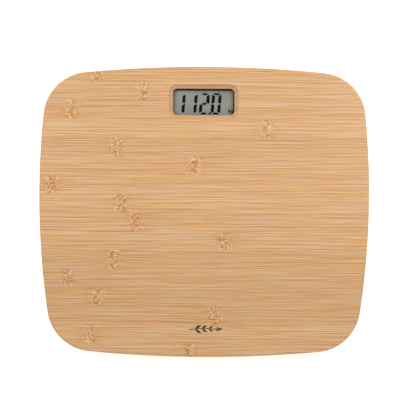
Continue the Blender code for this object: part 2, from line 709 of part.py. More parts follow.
def make_battery_door():
    """A plate with a hinge barrel and pins at one end and a spring latch at the other."""
    x = [WELL_CENTRE[0] + side * (WELL_SIZE[0] / 2 - GAP) for side in (-1, 1)]
    far = WELL_CENTRE[1] + WELL_SIZE[1] / 2 - GAP
    z = (HOUSING_BOTTOM, HOUSING_BOTTOM + DOOR_THICKNESS)
    door = box("battery_door", x, (HINGE_Y, far), z, GREY)
    barrel_length = WELL_SIZE[0] - 2 * GAP - 0.2 * MM
    pin_length = barrel_length + 2.4 * MM
    to_hinge = Matrix.Translation((WELL_CENTRE[0], HINGE_Y, HINGE_Z)) @ ALONG_X
    for name, radius, length in (
        ("hinge_barrel", HINGE_RADIUS, barrel_length),
        ("hinge_pins", 0.45 * MM, pin_length),
    ):
        join(door, upright(cylinder(name, radius, (-length / 2, length / 2)), to_hinge))
    for side in (-1, 1):
        middle = WELL_CENTRE[0] + side * 4.5 * MM
        half = 0.5 * MM
        slit_z = (z[0] - CUT, z[1] + CUT)
        cut(
            door,
            box(f"latch_slit_{side}", (middle - half, middle + half), (far - 7 * MM, far + CUT), slit_z),
        )
    for i in range(3):
        y = far - (2 + 1.6 * i) * MM
        ridge = (WELL_CENTRE[0] - 3 * MM, WELL_CENTRE[0] + 3 * MM)
        join(
            door,
            box(f"latch_ridge_{i}", ridge, (y, y + 0.7 * MM), (z[0] - 0.4 * MM, z[0] + 0.4 * MM)),
        )
    ride(door, add_pivot("battery_door_hinge", (WELL_CENTRE[0], HINGE_Y, HINGE_Z)))


def make_unit_button():
    pivot = add_pivot("unit_button_slide", (*BUTTON_CENTRE, 0))
    low, high = BUTTON_FLANGE
    profile = [
        (0, high),
        (BUTTON_RADIUS + 1.1 * MM, high),
        (BUTTON_RADIUS + 1.1 * MM, low),
        (BUTTON_RADIUS, low),
        (BUTTON_RADIUS, BUTTON_BOTTOM + 0.4 * MM),
        (BUTTON_RADIUS - 0.4 * MM, BUTTON_BOTTOM),
        (0, BUTTON_BOTTOM),
    ]
    ride(turned("unit_button", profile, BLACK, centre=BUTTON_CENTRE, steps=20), pivot)
    x = [BUTTON_CENTRE[0] + side * 3 * MM for side in (-1, 1)]
    y = [BUTTON_CENTRE[1] + side * 3 * MM for side in (-1, 1)]
    switch = box("unit_switch", x, y, SWITCH, BLACK)
    bore = (SWITCH[0] - CUT, SWITCH[1] - 0.3 * MM)
    cut(switch, cylinder("switch_bore", 1.9 * MM, bore, BUTTON_CENTRE))
    plunger = cylinder("switch_plunger", 1.6 * MM, SWITCH_PLUNGER, BUTTON_CENTRE, GREY)
    ride(plunger, pivot)


# Feet, in their own axes: the wires leave along +X ---------------------------------------
def seat_mesh():
    """The load cell's housing: a lid with ribs over the cell, and a skirt around the foot."""
    lid = [
        (0, SEAT_TOP),
        (SKIRT_RADIUS - 0.6 * MM, SEAT_TOP),
        (SKIRT_RADIUS, SEAT_TOP - 0.6 * MM),
        (SKIRT_RADIUS, SKIRT_BOTTOM),
        (0, SKIRT_BOTTOM),
    ]
    seat = turned("seat", lid)
    shared = math.acos(
        (FLANGE_RADIUS**2 + EAR_DISTANCE**2 - EAR_RADIUS**2) / (2 * FLANGE_RADIUS * EAR_DISTANCE)
    )
    crossing = FLANGE_RADIUS * math.sin(shared), FLANGE_RADIUS * math.cos(shared) - EAR_DISTANCE
    ear_turn = math.atan2(crossing[1], crossing[0])
    half = math.pi / 2
    flange = (
        arc((0, 0), FLANGE_RADIUS, shared - half, half - shared, 10)[:-1]
        + arc((0, EAR_DISTANCE), EAR_RADIUS, ear_turn, math.pi - ear_turn, 8)[:-1]
        + arc((0, 0), FLANGE_RADIUS, half + shared, 3 * half - shared, 10)[:-1]
        + arc((0, -EAR_DISTANCE), EAR_RADIUS, math.pi + ear_turn, math.tau - ear_turn, 8)[:-1]
    )
    join(seat, plate("seat_flange", flange, FLANGE))
    cut(
        seat,
        cylinder(
            "seat_bore", SKIRT_INNER, (SKIRT_BOTTOM - CUT, SEAT_CEILING), steps=ROUND_STEPS
        ),
    )
    root = SEAT_CEILING + 0.6 * MM  # ribs and clips are sunk this far into the lid
    for side in (-1, 1):
        rib = sorted((side * 14.2 * MM, side * 15.8 * MM))
        post = sorted((side * 17.6 * MM, side * 19.2 * MM))
        hook = sorted((side * 16.2 * MM, side * 18.6 * MM))
        join(
            seat,
            box(f"cell_rib_{side}", (-19 * MM, 19 * MM), rib, (CELL[1] + GAP, root)),
            box(f"clip_post_{side}", (-3 * MM, 3 * MM), post, (CELL[0] - GAP - 0.8 * MM, root)),
            box(
                f"clip_hook_{side}",
                (-2.6 * MM, 2.6 * MM),
                hook,
                (CELL[0] - GAP - 0.7 * MM, CELL[0] - GAP),
            ),
        )
        hole = (FLANGE[0] - CUT, FLANGE[1] + CUT)
        place = (0, side * EAR_DISTANCE)
        cut(seat, cylinder(f"ear_hole_{side}", FOOT_SCREW[0] + GAP, hole, place))
    notch = ((21 * MM, SKIRT_RADIUS + CUT), (-2 * MM, 2 * MM))
    cut(seat, box("lead_notch", *notch, (FLANGE[1] + 0.2 * MM, SEAT_TOP + CUT)))
    for angle in BARB_ANGLES:
        reach = (SKIRT_INNER - CUT, SKIRT_RADIUS + CUT)
        width = (-BARB_WIDTH / 2 - CUT, BARB_WIDTH / 2 + CUT)
        opening = box(f"barb_window_{angle}", reach, width, (BARB[0] - GAP, BARB[1] + 0.8 * MM))
        cut(seat, upright(opening, Matrix.Rotation(math.radians(angle), 4, "Z")))
    return bake(seat)


def cell_mesh():
    """A square of spring steel whose tongue, cut free on three sides, takes the load."""
    cell = plate("cell", rounded_rectangle((CELL_SIZE, CELL_SIZE), 4 * MM), CELL)
    outer, inner, left, right = 9 * MM, 7 * MM, -10 * MM, 8 * MM
    u_slot = [(right, outer), (left, outer), (left, -outer), (right, -outer)]
    u_slot += [(right, -inner), (left + 2 * MM, -inner), (left + 2 * MM, inner), (right, inner)]
    cut(cell, plate("tongue_slot", u_slot, (CELL[0] - CUT, CELL[1] + CUT)))
    return bake(cell)


def gauge_mesh():
    """The silicone patch over the strain gauges, at the tongue's root."""
    width = (-GAUGE_WIDTH / 2, GAUGE_WIDTH / 2)
    return bake(bevel(box("gauge", GAUGE, width, (CELL[1] + GAP, GAUGE_TOP)), 0.4 * MM, 2))


def shell_mesh():
    """A cup with a boss that bears on the tongue, a recess for the pad and three barbs."""
    inner = SHELL_RADIUS - SHELL_WALL
    profile = [
        (0, CELL[0] - GAP),
        (BOSS_RADIUS - 0.8 * MM, CELL[0] - GAP),
        (BOSS_RADIUS, CELL[0] - GAP - 0.8 * MM),
        (BOSS_RADIUS, SHELL_FLOOR[1]),
        (inner, SHELL_FLOOR[1]),
        (inner, SHELL_RIM),
        (SHELL_RADIUS, SHELL_RIM),
        (SHELL_RADIUS, SHELL_BOTTOM + 1 * MM),
        (SHELL_RADIUS - 1 * MM, SHELL_BOTTOM),
        (PAD_RADIUS + GAP, SHELL_BOTTOM),
        (PAD_RADIUS + GAP, SHELL_FLOOR[0]),
        (0, SHELL_FLOOR[0]),
    ]
    shell = turned("shell", profile)
    wedge = [
        (SHELL_RADIUS - 1 * MM, BARB[0]),
        (BARB_REACH, BARB[0]),
        (BARB_REACH, BARB[0] + 0.5 * MM),
        (SHELL_RADIUS, BARB[1]),
        (SHELL_RADIUS - 1 * MM, BARB[1]),
    ]
    for angle in BARB_ANGLES:
        barb = plate(f"barb_{angle}", wedge, (-BARB_WIDTH / 2, BARB_WIDTH / 2))
        join(shell, upright(barb, Matrix.Rotation(math.radians(angle), 4, "Z") @ ALONG_Y))
    return bake(shell)


def pad_mesh():
    """The rubber pad, chamfered where it meets the floor."""
    chamfer = 0.6 * MM
    profile = [
        (0, PAD_TOP),
        (PAD_RADIUS, PAD_TOP),
        (PAD_RADIUS, chamfer),
        (PAD_RADIUS - chamfer, 0),
        (0, 0),
    ]
    return bake(turned("pad", profile))


def lead_curve(name, length):
    """A foot's three wires as one bundle: over the cell, along the groove, down to the board."""

    def ramp(start, end, low, high, steps=5):
        for i in range(steps + 1):
            share = i / steps
            yield start + (end - start) * share, low + (high - low) * (1 - math.cos(math.pi * share)) / 2

    route = [(LEAD_START, LEAD_ON_CELL_Z)]
    route += ramp(19 * MM, 27 * MM, LEAD_ON_CELL_Z, LEAD_IN_GROOVE_Z)
    route += ramp(length - 12 * MM, length - 4 * MM, LEAD_IN_GROOVE_Z, LEAD_ON_BOARD_Z)
    route.append((length, LEAD_ON_BOARD_Z))
    curve = bpy.data.curves.new(name, "CURVE")
    curve.dimensions = "3D"
    curve.bevel_depth = LEAD_RADIUS
    curve.bevel_resolution = 2
    curve.use_fill_caps = True
    spline = curve.splines.new("POLY")
    spline.points.add(len(route) - 1)
    for point, (x, z) in zip(spline.points, route):
        point.co = (x, 0, z, 1)
    return curve


def cover_mesh(length):
    """A strip pressed into the groove's mouth, flush with the underside."""
    width = GROOVE_WIDTH - 2 * GAP
    start, end = SKIRT_RADIUS + 0.8 * MM + width / 2, length - 13.5 * MM - width / 2
    return bake(
        plate("cover", slot(start, end, width), (UNDERSIDE, UNDERSIDE + COVER_THICKNESS))
    )


def screw_mesh(screw):
    """A cross-recess screw that points up, with the underside of its head at zero."""
    radius, length, head_radius, head_height = screw
    profile = [
        (0, length),
        (0.3 * radius, length),
        (radius, length - 1.5 * radius),
        (radius, 0),
        (head_radius, 0),
        (head_radius, -0.5 * head_height),
        (0.7 * head_radius, -head_height),
        (0, -head_height),
    ]
    body = turned("screw", profile, steps=SMALL_STEPS)
    long, narrow = 0.6 * head_radius, 0.16 * head_radius
    depth = (-head_height - CUT, -0.45 * head_height)
    cut(
        body,
        box("recess_x", (-long, long), (-narrow, narrow), depth),
        box("recess_y", (-narrow, narrow), (-long, long), depth),
    )
    return bake(body)


def make_feet():
    seat, cell, gauge = seat_mesh(), cell_mesh(), gauge_mesh()
    shell, pad, screw = shell_mesh(), pad_mesh(), screw_mesh(FOOT_SCREW)
    leads, covers = {}, {}
    for name, end, middle, turn, length in foot_places():
        if end not in leads:
            leads[end], covers[end] = lead_curve(f"lead_{end}", length), cover_mesh(length)
        place = (*middle, 0)
        for piece, data, material in (
            ("load_cell_housing", seat, GREY),
            ("load_cell", cell, STEEL),
            ("strain_gauge", gauge, SILICONE),
            ("cell_lead", leads[end], WIRE),
            ("wire_cover", covers[end], GREY),
        ):
            add_object(f"{piece}_{name}", data, material, place, turn)
        pivot = add_pivot(f"foot_slide_{name}", place, turn)
        for piece, data, material in (("foot_shell", shell, GREY), ("foot_pad", pad, RUBBER)):
            add_object(f"{piece}_{name}", data, material, parent=pivot)
        for side, sign in (("a", 1), ("b", -1)):
            spot = at_foot(middle, turn, 0, sign * EAR_DISTANCE)
            add_object(f"foot_screw_{name}_{side}", screw, STEEL, (*spot, FLANGE[0] - GAP), turn)


def make_module_screws():
    mesh = screw_mesh(HOUSING_SCREW)
    for name, place in housing_screw_places():
        add_object(f"housing_screw_{name}", mesh, STEEL, (*place, COUNTERBORE_TOP - GAP))
    mesh = screw_mesh(BOARD_SCREW)
    for side, sign in (("left", -1), ("right", 1)):
        place = (sign * BOARD_SCREW_X, POCKET_CENTRE[1], BOARD[0] - GAP)
        add_object(f"board_screw_{side}", mesh, STEEL, place)


make_platform()
make_lens()
make_gasket()
make_lcd_frame()
make_lcd_panel()
make_lcd_connector()
make_board()
make_battery()
make_housing()
make_battery_door()
make_unit_button()
make_feet()
make_module_screws()
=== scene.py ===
"""Looks for a digital bathroom scale with a bamboo platform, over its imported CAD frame."""

import math

import bmesh
import bpy
from mathutils import Matrix, Vector


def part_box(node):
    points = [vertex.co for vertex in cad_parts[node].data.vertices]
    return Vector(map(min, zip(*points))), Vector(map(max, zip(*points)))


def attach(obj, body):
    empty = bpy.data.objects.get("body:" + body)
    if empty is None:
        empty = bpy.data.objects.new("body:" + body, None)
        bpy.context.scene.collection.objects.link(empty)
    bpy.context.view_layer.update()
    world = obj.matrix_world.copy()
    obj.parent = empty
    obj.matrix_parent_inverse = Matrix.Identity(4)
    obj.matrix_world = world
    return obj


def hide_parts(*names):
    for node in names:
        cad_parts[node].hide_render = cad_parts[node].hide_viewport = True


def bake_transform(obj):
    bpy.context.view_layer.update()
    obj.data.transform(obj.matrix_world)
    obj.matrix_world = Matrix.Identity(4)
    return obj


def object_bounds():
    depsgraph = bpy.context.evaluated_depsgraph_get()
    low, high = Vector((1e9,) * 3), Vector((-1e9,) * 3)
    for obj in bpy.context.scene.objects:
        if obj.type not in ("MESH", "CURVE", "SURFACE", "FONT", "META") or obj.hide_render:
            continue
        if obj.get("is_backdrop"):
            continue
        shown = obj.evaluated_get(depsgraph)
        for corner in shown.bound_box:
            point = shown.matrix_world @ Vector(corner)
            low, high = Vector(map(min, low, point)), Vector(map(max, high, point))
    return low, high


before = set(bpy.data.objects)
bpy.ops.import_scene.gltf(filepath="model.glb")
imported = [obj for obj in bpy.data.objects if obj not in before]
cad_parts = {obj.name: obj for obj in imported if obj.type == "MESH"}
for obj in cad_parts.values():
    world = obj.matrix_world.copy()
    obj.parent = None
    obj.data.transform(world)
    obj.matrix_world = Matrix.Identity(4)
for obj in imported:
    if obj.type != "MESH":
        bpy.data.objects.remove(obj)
CAD_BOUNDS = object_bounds()

MM = 0.001


# Node graphs ------------
class Graph:
    """A material's node tree, with each common node as one call that returns its output."""

    def __init__(self, name):
        self.material = bpy.data.materials.new(name)
        self.material.use_nodes = True
        self.nodes = self.material.node_tree.nodes
        self.links = self.material.node_tree.links
        self.shader = self.nodes["Principled BSDF"]
        self.place = self.nodes.new("ShaderNodeTexCoord").outputs["Object"]

    def put(self, socket, value):
        if isinstance(value, bpy.types.NodeSocket):
            self.links.new(value, socket)
        elif socket.type == "RGBA" and len(value) == 3:
            socket.default_value = (*value, 1)
        else:
            socket.default_value = value

    def math(self, operation, *values, clamp=False):
        node = self.nodes.new("ShaderNodeMath")
        node.operation = operation
        node.use_clamp = clamp
        for socket, value in zip(node.inputs, values):
            self.put(socket, value)
        return node.outputs[0]

    def add(self, a, b):
        return self.math("ADD", a, b)

    def times(self, a, b):
        return self.math("MULTIPLY", a, b)

    def split(self, vector):
        node = self.nodes.new("ShaderNodeSeparateXYZ")
        self.put(node.inputs[0], vector)
        return node.outputs

    def join(self, x, y, z):
        node = self.nodes.new("ShaderNodeCombineXYZ")
        for socket, value in zip(node.inputs, (x, y, z)):
            self.put(socket, value)
        return node.outputs[0]

    def scaled(self, vector, scale):
        node = self.nodes.new("ShaderNodeVectorMath")
        node.operation = "MULTIPLY"
        self.put(node.inputs[0], vector)
        node.inputs[1].default_value = scale
        return node.outputs[0]

    def noise(self, vector, scale, detail=2.0, roughness=0.5):
        node = self.nodes.new("ShaderNodeTexNoise")
        node.inputs["Scale"].default_value = 1.0
        node.inputs["Detail"].default_value = detail
        node.inputs["Roughness"].default_value = roughness
        self.put(node.inputs["Vector"], self.scaled(vector, scale))
        return node.outputs["Fac"]

    def random(self, value):
        """A number between 0 and 1 that stays the same for one whole value."""
        node = self.nodes.new("ShaderNodeTexWhiteNoise")
        node.noise_dimensions = "1D"
        self.put(node.inputs["W"], value)
        return node.outputs["Value"]

    def spread(self, value, low, high, to_low=0.0, to_high=1.0):
        node = self.nodes.new("ShaderNodeMapRange")
        self.put(node.inputs["Value"], value)
        for name, bound in zip(("From Min", "From Max", "To Min", "To Max"), (low, high, to_low, to_high)):
            node.inputs[name].default_value = bound
        return node.outputs["Result"]

    def ramp(self, value, stops, interpolation="LINEAR"):
        node = self.nodes.new("ShaderNodeValToRGB")
        ramp = node.color_ramp
        ramp.interpolation = interpolation
        while len(ramp.elements) < len(stops):
            ramp.elements.new(1.0)
        for element, (position, colour) in zip(ramp.elements, stops):
            element.position = position
            element.color = (*colour, 1)
        self.put(node.inputs["Fac"], value)
        return node.outputs["Color"]

    def mix(self, share, a, b, blend="MIX"):
        node = self.nodes.new("ShaderNodeMix")
        node.data_type = "RGBA"
        node.blend_type = blend
        node.clamp_factor = True
        for socket, value in zip((node.inputs[0], node.inputs[6], node.inputs[7]), (share, a, b)):
            self.put(socket, value)
        return node.outputs[2]

    def mix_value(self, share, a, b):
        node = self.nodes.new("ShaderNodeMix")
        for socket, value in zip((node.inputs[0], node.inputs[2], node.inputs[3]), (share, a, b)):
            self.put(socket, value)
        return node.outputs[0]

    def bell(self, value, width):
        """1 where value is 0, falling off smoothly over width to each side."""
        share = self.times(value, 1 / width)
        return self.math("EXPONENT", self.times(self.times(share, share), -1.0))

    def bump(self, height, distance, strength=1.0):
        node = self.nodes.new("ShaderNodeBump")
        node.inputs["Distance"].default_value = distance
        node.inputs["Strength"].default_value = strength
        self.put(node.inputs["Height"], height)
        self.put(self.shader.inputs["Normal"], node.outputs[0])

    def set(self, **inputs):
        for name, value in inputs.items():
            self.put(self.shader.inputs[name.replace("_", " ").title().replace("Ior", "IOR")], value)
        return self.material


def srgb(red, green, blue):
    """A display colour, 0 to 255, in the shader's linear values."""

    def linear(channel):
        share = channel / 255
        return share / 12.92 if share <= 0.04045 else ((share + 0.055) / 1.055) ** 2.4

    return tuple(linear(channel) for channel in (red, green, blue))


# Bamboo: 17 mm strips along X, each with one joint of the cane ------------
STRIP = 17 * MM
STRIP_START = -0.9 * MM
FIRST_STRIP = -8
CANE_JOINTS = (-14, -103, 9, -97, -123, -82, 18, -62, -75, -139, -9, -80, 57, -121, -56, -98)  # mm
DARK_STRIP, PALE_STRIP = (0.92, 0.92, 0.92), (1.0, 1.02, 1.05)
GREYER, WARMER = (0.975, 0.99, 1.07), (1.015, 1.0, 0.93)
JOINT_RANGE = 400  # mm, the span that the ramp's grey stands for
CUT_TINT_AND_RIM_SHADE = (0.89, 0.845, 0.8)  # what a cut face keeps of the planed face's colour: partly the cut grain's own darker tone, partly painted shade for the window's rim
BOARD_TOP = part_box("bamboo_platform")[1].z
PLY = (BOARD_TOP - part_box("bamboo_platform")[0].z) / 3  # the middle layer runs across the others


def bamboo():
    g = Graph("bamboo")
    x, y, z = g.split(g.place)
    depth = g.math("SUBTRACT", BOARD_TOP, z)
    from_middle = g.math("ABSOLUTE", g.math("SUBTRACT", depth, 1.5 * PLY))
    crossed = g.math("LESS_THAN", from_middle, PLY / 2)
    x, y = g.mix_value(crossed, x, y), g.mix_value(crossed, y, x)
    across = g.times(g.math("SUBTRACT", y, STRIP_START), 1 / STRIP)
    strip = g.math("FLOOR", across)
    seed = g.random(g.add(strip, 40.5))
    count = len(CANE_JOINTS)
    share = g.times(g.add(strip, 0.5 - FIRST_STRIP), 1 / count)

    stops = [(i / count, (place / JOINT_RANGE + 0.5,) * 3) for i, place in enumerate(CANE_JOINTS)]
    joint = g.ramp(share, stops, "CONSTANT")
    joint_x = g.times(g.math("SUBTRACT", joint, 0.5), JOINT_RANGE * MM)
    from_joint = g.math("SUBTRACT", x, joint_x)

    near = g.bell(from_joint, 6.5 * MM)
    around = g.bell(from_joint, 18 * MM)
    wave = g.noise(g.place, (200, 420, 60), detail=1.0)
    slow_wave = g.noise(g.place, (7, 30, 30), detail=1.0)
    bent = g.times(g.math("SUBTRACT", wave, 0.5), g.times(near, 5 * MM))
    drift = g.times(g.math("SUBTRACT", slow_wave, 0.5), 0.8 * MM)
    fibre_y = g.add(g.add(y, bent), drift)
    fibre_y = g.add(fibre_y, g.times(seed, 3.0))
    along = g.join(x, fibre_y, z)

    def fibres(width, along_scale, layer, apart=0.0):
        """Parallel fibres, each unlike the one beside it by the share apart."""
        below = g.math("FLOOR", g.times(g.add(depth, 0.3 * MM), 1 / width))
        row = g.math("FLOOR", g.times(fibre_y, 1 / width))
        row = g.add(row, g.times(below, 0.43))

        def tone(row):
            place = g.join(g.times(x, along_scale), g.times(row, 7.37), layer)
            return g.math("SUBTRACT", g.noise(place, (1, 1, 1), detail=3.0, roughness=0.6), 0.5)

        beside = g.times(tone(g.add(row, 1.0)), apart)
        return g.add(g.math("SUBTRACT", tone(row), beside), 0.5)

    fine = fibres(0.95 * MM, 14, 0.5, 0.5)
    broad = fibres(4.3 * MM, 9, 2.5)
    fibre = g.add(g.times(fine, 0.9), g.times(broad, 0.1))
    colour = g.ramp(
        g.spread(fibre, 0.28, 0.72),
        [
            (0.0, srgb(204, 138, 74)),
            (0.3, srgb(219, 162, 104)),
            (0.6, srgb(230, 184, 132)),
            (1.0, srgb(238, 204, 162)),
        ],
    )
    orange = g.spread(fibres(1.0 * MM, 20, 3.5), 0.52, 0.7)
    colour = g.mix(g.times(orange, 0.45), colour, srgb(220, 154, 88))
    patch = g.spread(g.noise(along, (30, 170, 60), detail=2.0), 0.35, 0.65)
    colour = g.mix(1.0, colour, g.mix(patch, GREYER, WARMER), "MULTIPLY")

    colour = g.mix(1.0, colour, g.mix(seed, DARK_STRIP, PALE_STRIP), "MULTIPLY")
    edge = g.math("ABSOLUTE", g.math("SUBTRACT", g.math("FRACT", across), 0.5))
    seam = g.spread(edge, 0.485, 0.5)
    colour = g.mix(g.times(seam, 0.22), colour, srgb(176, 116, 66))

    spots = g.noise(along, (560, 900, 200), detail=1.0, roughness=0.6)
    dark_spots = g.times(g.spread(spots, 0.5, 0.62), near)
    pale_spots = g.times(g.spread(spots, 0.48, 0.36), near)
    tails = g.times(g.spread(g.noise(along, (26, 620, 200)), 0.5, 0.62), around)
    ring_wave = g.times(g.math("SUBTRACT", g.noise(g.place, (60, 300, 60)), 0.5), 12 * MM)
    ring = g.bell(g.add(from_joint, ring_wave), 0.6 * MM)
    colour = g.mix(g.times(tails, 0.55), colour, srgb(212, 142, 70))
    colour = g.mix(g.times(dark_spots, 0.9), colour, srgb(190, 114, 44))
    colour = g.mix(g.times(pale_spots, 0.7), colour, srgb(246, 216, 172))
    colour = g.mix(g.times(ring, 0.45), colour, srgb(186, 110, 44))

    glue = g.math("ABSOLUTE", g.math("SUBTRACT", from_middle, PLY / 2))
    colour = g.mix(g.times(g.bell(glue, 0.12 * MM), 0.5), colour, srgb(150, 92, 46))
    # Faces below the top are darker: partly the cut grain's own tone, partly painted shade in the window's
    # rim.
    cut = g.spread(depth, 0.1 * MM, 0.8 * MM)
    colour = g.mix(cut, colour, CUT_TINT_AND_RIM_SHADE, "MULTIPLY")

    g.bump(g.add(fibre, g.times(dark_spots, -0.6)), 0.12 * MM, 0.35)
    rough = g.spread(fine, 0.3, 0.7, 0.46, 0.36)
    return g.set(base_color=colour, roughness=rough, coat_weight=0.12, coat_roughness=0.3)


def moulded(name, colour, roughness, grain=0.04 * MM, shift=0.12, gloss=0.5):
    """Moulded plastic or rubber with a fine texture, slightly uneven in tone and gloss."""
    g = Graph(name)
    fine = g.noise(g.place, (2600, 2600, 2600), detail=2.0)
    cloud = g.noise(g.place, (45, 45, 45), detail=3.0)
    darker = tuple(channel * (1 - shift) for channel in colour)
    lighter = tuple(min(1.0, channel * (1 + shift)) for channel in colour)
    g.bump(fine, grain, 0.5)
    return g.set(
        base_color=g.ramp(g.spread(cloud, 0.3, 0.7), [(0, darker), (1, lighter)]),
        roughness=g.spread(cloud, 0.3, 0.7, roughness - 0.05, roughness + 0.06),
        specular_ior_level=gloss,
    )


def metal(name, colour, roughness, stretch=(60, 1400, 1400)):
    g = Graph(name)
    lines = g.noise(g.place, stretch, detail=2.0)
    cloud = g.noise(g.place, (120, 120, 120), detail=2.0)
    g.bump(lines, 0.02 * MM, 0.4)
    return g.set(
        base_color=g.mix(cloud, tuple(0.88 * c for c in colour), colour),
        metallic=1.0,
        roughness=g.spread(lines, 0.3, 0.7, roughness - 0.06, roughness + 0.08),
    )


def circuit_board():
    """Green solder mask with copper tracks showing through as paler lines."""
    g = Graph("circuit_board")
    _, y, _ = g.split(g.place)
    wiggle = g.times(g.noise(g.place, (90, 90, 90), detail=0.0), 6 * MM)
    track = g.math("FRACT", g.times(g.add(y, wiggle), 1 / (1.6 * MM)))
    track = g.spread(g.math("ABSOLUTE", g.math("SUBTRACT", track, 0.5)), 0.2, 0.24)
    patch = g.spread(g.noise(g.place, (70, 70, 70), detail=0.0), 0.5, 0.52)
    colour = g.mix(g.times(track, patch), srgb(14, 92, 48), srgb(42, 128, 74))
    return g.set(base_color=colour, roughness=0.35, coat_weight=0.3)


def clear_plastic():
    """Clear moulding: what shows is its gloss, which grows towards grazing angles."""
    g = Graph("clear_plastic")
    weight = g.nodes.new("ShaderNodeLayerWeight")
    weight.inputs["Blend"].default_value = 0.5
    grazing = g.math("POWER", weight.outputs["Facing"], 5.0)
    smear = g.noise(g.place, (90, 90, 90), detail=3.0)
    return g.set(
        base_color=(0.93, 0.97, 0.97),
        metallic=1.0,
        roughness=g.spread(smear, 0.3, 0.7, 0.04, 0.1),
        alpha=g.add(g.times(grazing, 0.9), 0.008),
    )


FILM_Y = (89.0 * MM, 112 * MM)


def lcd_backing():
    """The grey-green reflector behind the liquid crystal, with its faint sparkle, and painted shade that
    darkens it towards the rear.
    """
    g = Graph("lcd_glass")
    sparkle = g.noise(g.place, (2400, 2400, 2400), detail=1.0)
    cloud = g.noise(g.place, (60, 60, 60), detail=2.0)
    mixed = g.add(g.times(sparkle, 0.5), g.times(cloud, 0.5))
    colour = g.ramp(
        g.spread(mixed, 0.35, 0.65), [(0, srgb(138, 139, 128)), (1, srgb(153, 153, 142))]
    )
    # Painted shade: darker towards the rear edge, where the rim shades the film, and paler towards the
    # front.
    front = g.spread(g.split(g.place)[1], FILM_Y[1], FILM_Y[0], 0.92, 1.12)
    colour = g.mix(1.0, colour, g.join(front, front, front), "MULTIPLY")
    return g.set(base_color=colour, roughness=0.3)


BAMBOO = bamboo()
CLEAR = clear_plastic()
LCD = lcd_backing()
BARE_GLASS = moulded("lcd_bare_glass", srgb(112, 140, 142), 0.2, grain=0.005 * MM)
INK = moulded("lcd_ink", srgb(4, 10, 24), 0.4, shift=0.2, gloss=0.0)
FAINT_INK = moulded("lcd_faint_ink", srgb(30, 36, 46), 0.4, shift=0.1, gloss=0.0)
BLACK = moulded("black_plastic", srgb(30, 30, 30), 0.45)
GREY = moulded("grey_plastic", srgb(74, 75, 77), 0.5)
RUBBER = moulded("rubber", srgb(42, 42, 43), 0.75, grain=0.08 * MM)
SILICONE = moulded("silicone", srgb(232, 232, 226), 0.45)
BOARD_GREEN = circuit_board()
EPOXY = moulded("epoxy", srgb(22, 22, 22), 0.2, grain=0.01 * MM)
STEEL = metal("zinc_steel", srgb(200, 202, 200), 0.3)
WIRES = {
    name: moulded(f"wire_{name}", srgb(*colour), 0.4)
    for name, colour in (("red", (178, 28, 26)), ("white", (225, 224, 218)), ("black", (28, 28, 28)))
}
MARK = moulded("printed_mark", srgb(46, 34, 28), 0.6)


# Shapes ------------
def arc(centre, radius, start, end, steps):
    angles = [start + (end - start) * i / steps for i in range(steps + 1)]
    return [(centre[0] + radius * math.cos(a), centre[1] + radius * math.sin(a)) for a in angles]


def rounded_rectangle(size, corner, centre=(0, 0), steps=8):
    points = []
    for quarter, (sx, sy) in enumerate(((1, 1), (-1, 1), (-1, -1), (1, -1))):
        middle = (centre[0] + sx * (size[0] / 2 - corner), centre[1] + sy * (size[1] / 2 - corner))
        start = quarter * math.pi / 2
        points += arc(middle, corner, start, start + math.pi / 2, steps)
    return points


def rectangle(x, y):
    return [(x[0], y[0]), (x[1], y[0]), (x[1], y[1]), (x[0], y[1])]


def slot(start, end, width, steps=12):
    """Two half circles, around (start, 0) and (end, 0), joined by straight sides."""
    right = arc((end, 0), width / 2, -math.pi / 2, math.pi / 2, steps)
    return right + arc((start, 0), width / 2, math.pi / 2, 3 * math.pi / 2, steps)


def rounded(profile, steps=4):
    """An open profile of (x, y), or (x, y, radius) where the corner is rounded."""
    made = []
    for i, corner in enumerate(profile):
        at = Vector(corner[:2])
        if len(corner) == 2:
            made.append(tuple(at))
            continue
        back, on = ((Vector(profile[i + side][:2]) - at).normalized() for side in (-1, 1))
        half = back.angle(on) / 2
        centre = at + (back + on).normalized() * (corner[2] / math.sin(half))
        start, end = (at + way * (corner[2] / math.tan(half)) - centre for way in (back, on))
        turn = math.atan2(start.x * end.y - start.y * end.x, start.dot(end))
        first = math.atan2(start.y, start.x)
        made += arc(centre, corner[2], first, first + turn, steps)
    return made


def skin(rings):
    """A closed skin through rings that have equally many points."""
    shape = bmesh.new()
    rings = [[shape.verts.new(point) for point in ring] for ring in rings]
    for low, high in zip(rings, rings[1:]):
        for i, point in enumerate(low):
            after = (i + 1) % len(low)
            shape.faces.new((point, low[after], high[after], high[i]))
    shape.faces.new(list(reversed(rings[0])))
    shape.faces.new(rings[-1])
    bmesh.ops.recalc_face_normals(shape, faces=shape.faces)
    return shape


def stack(*sections):
    """A closed skin through sections of (outline, z)."""
    return skin([[(x, y, z) for x, y in outline] for outline, z in sections])


def prism(outline, z):
    return stack((outline, z[0]), (outline, z[1]))


def soft_plate(outline_at, z, low=0.0, high=0.0, steps=4):
    """A plate with rounded rims. outline_at(inset) gives the outline moved in by inset."""
    turns = [math.pi / 2 * i / steps for i in range(steps + 1)]
    sections = []
    if low:
        sections += [(outline_at(low * (1 - math.sin(t))), z[0] + low * (1 - math.cos(t))) for t in turns]
    else:
        sections.append((outline_at(0), z[0]))
    if high:
        sections += [(outline_at(high * (1 - math.cos(t))), z[1] - high * (1 - math.sin(t))) for t in turns]
    else:
        sections.append((outline_at(0), z[1]))
    return stack(*sections)


def soft_rectangle(size, corner, centre=(0, 0)):
    """The outline_at of a rounded rectangle, for soft_plate."""
    return lambda inset: rounded_rectangle(
        [side - 2 * inset for side in size], corner - inset, centre
    )


def box(x, y, z):
    return prism(rectangle(x, y), z)


def cylinder(radius, z, centre=(0, 0), steps=32):
    return prism(arc(centre, radius, 0, math.tau, steps)[:-1], z)


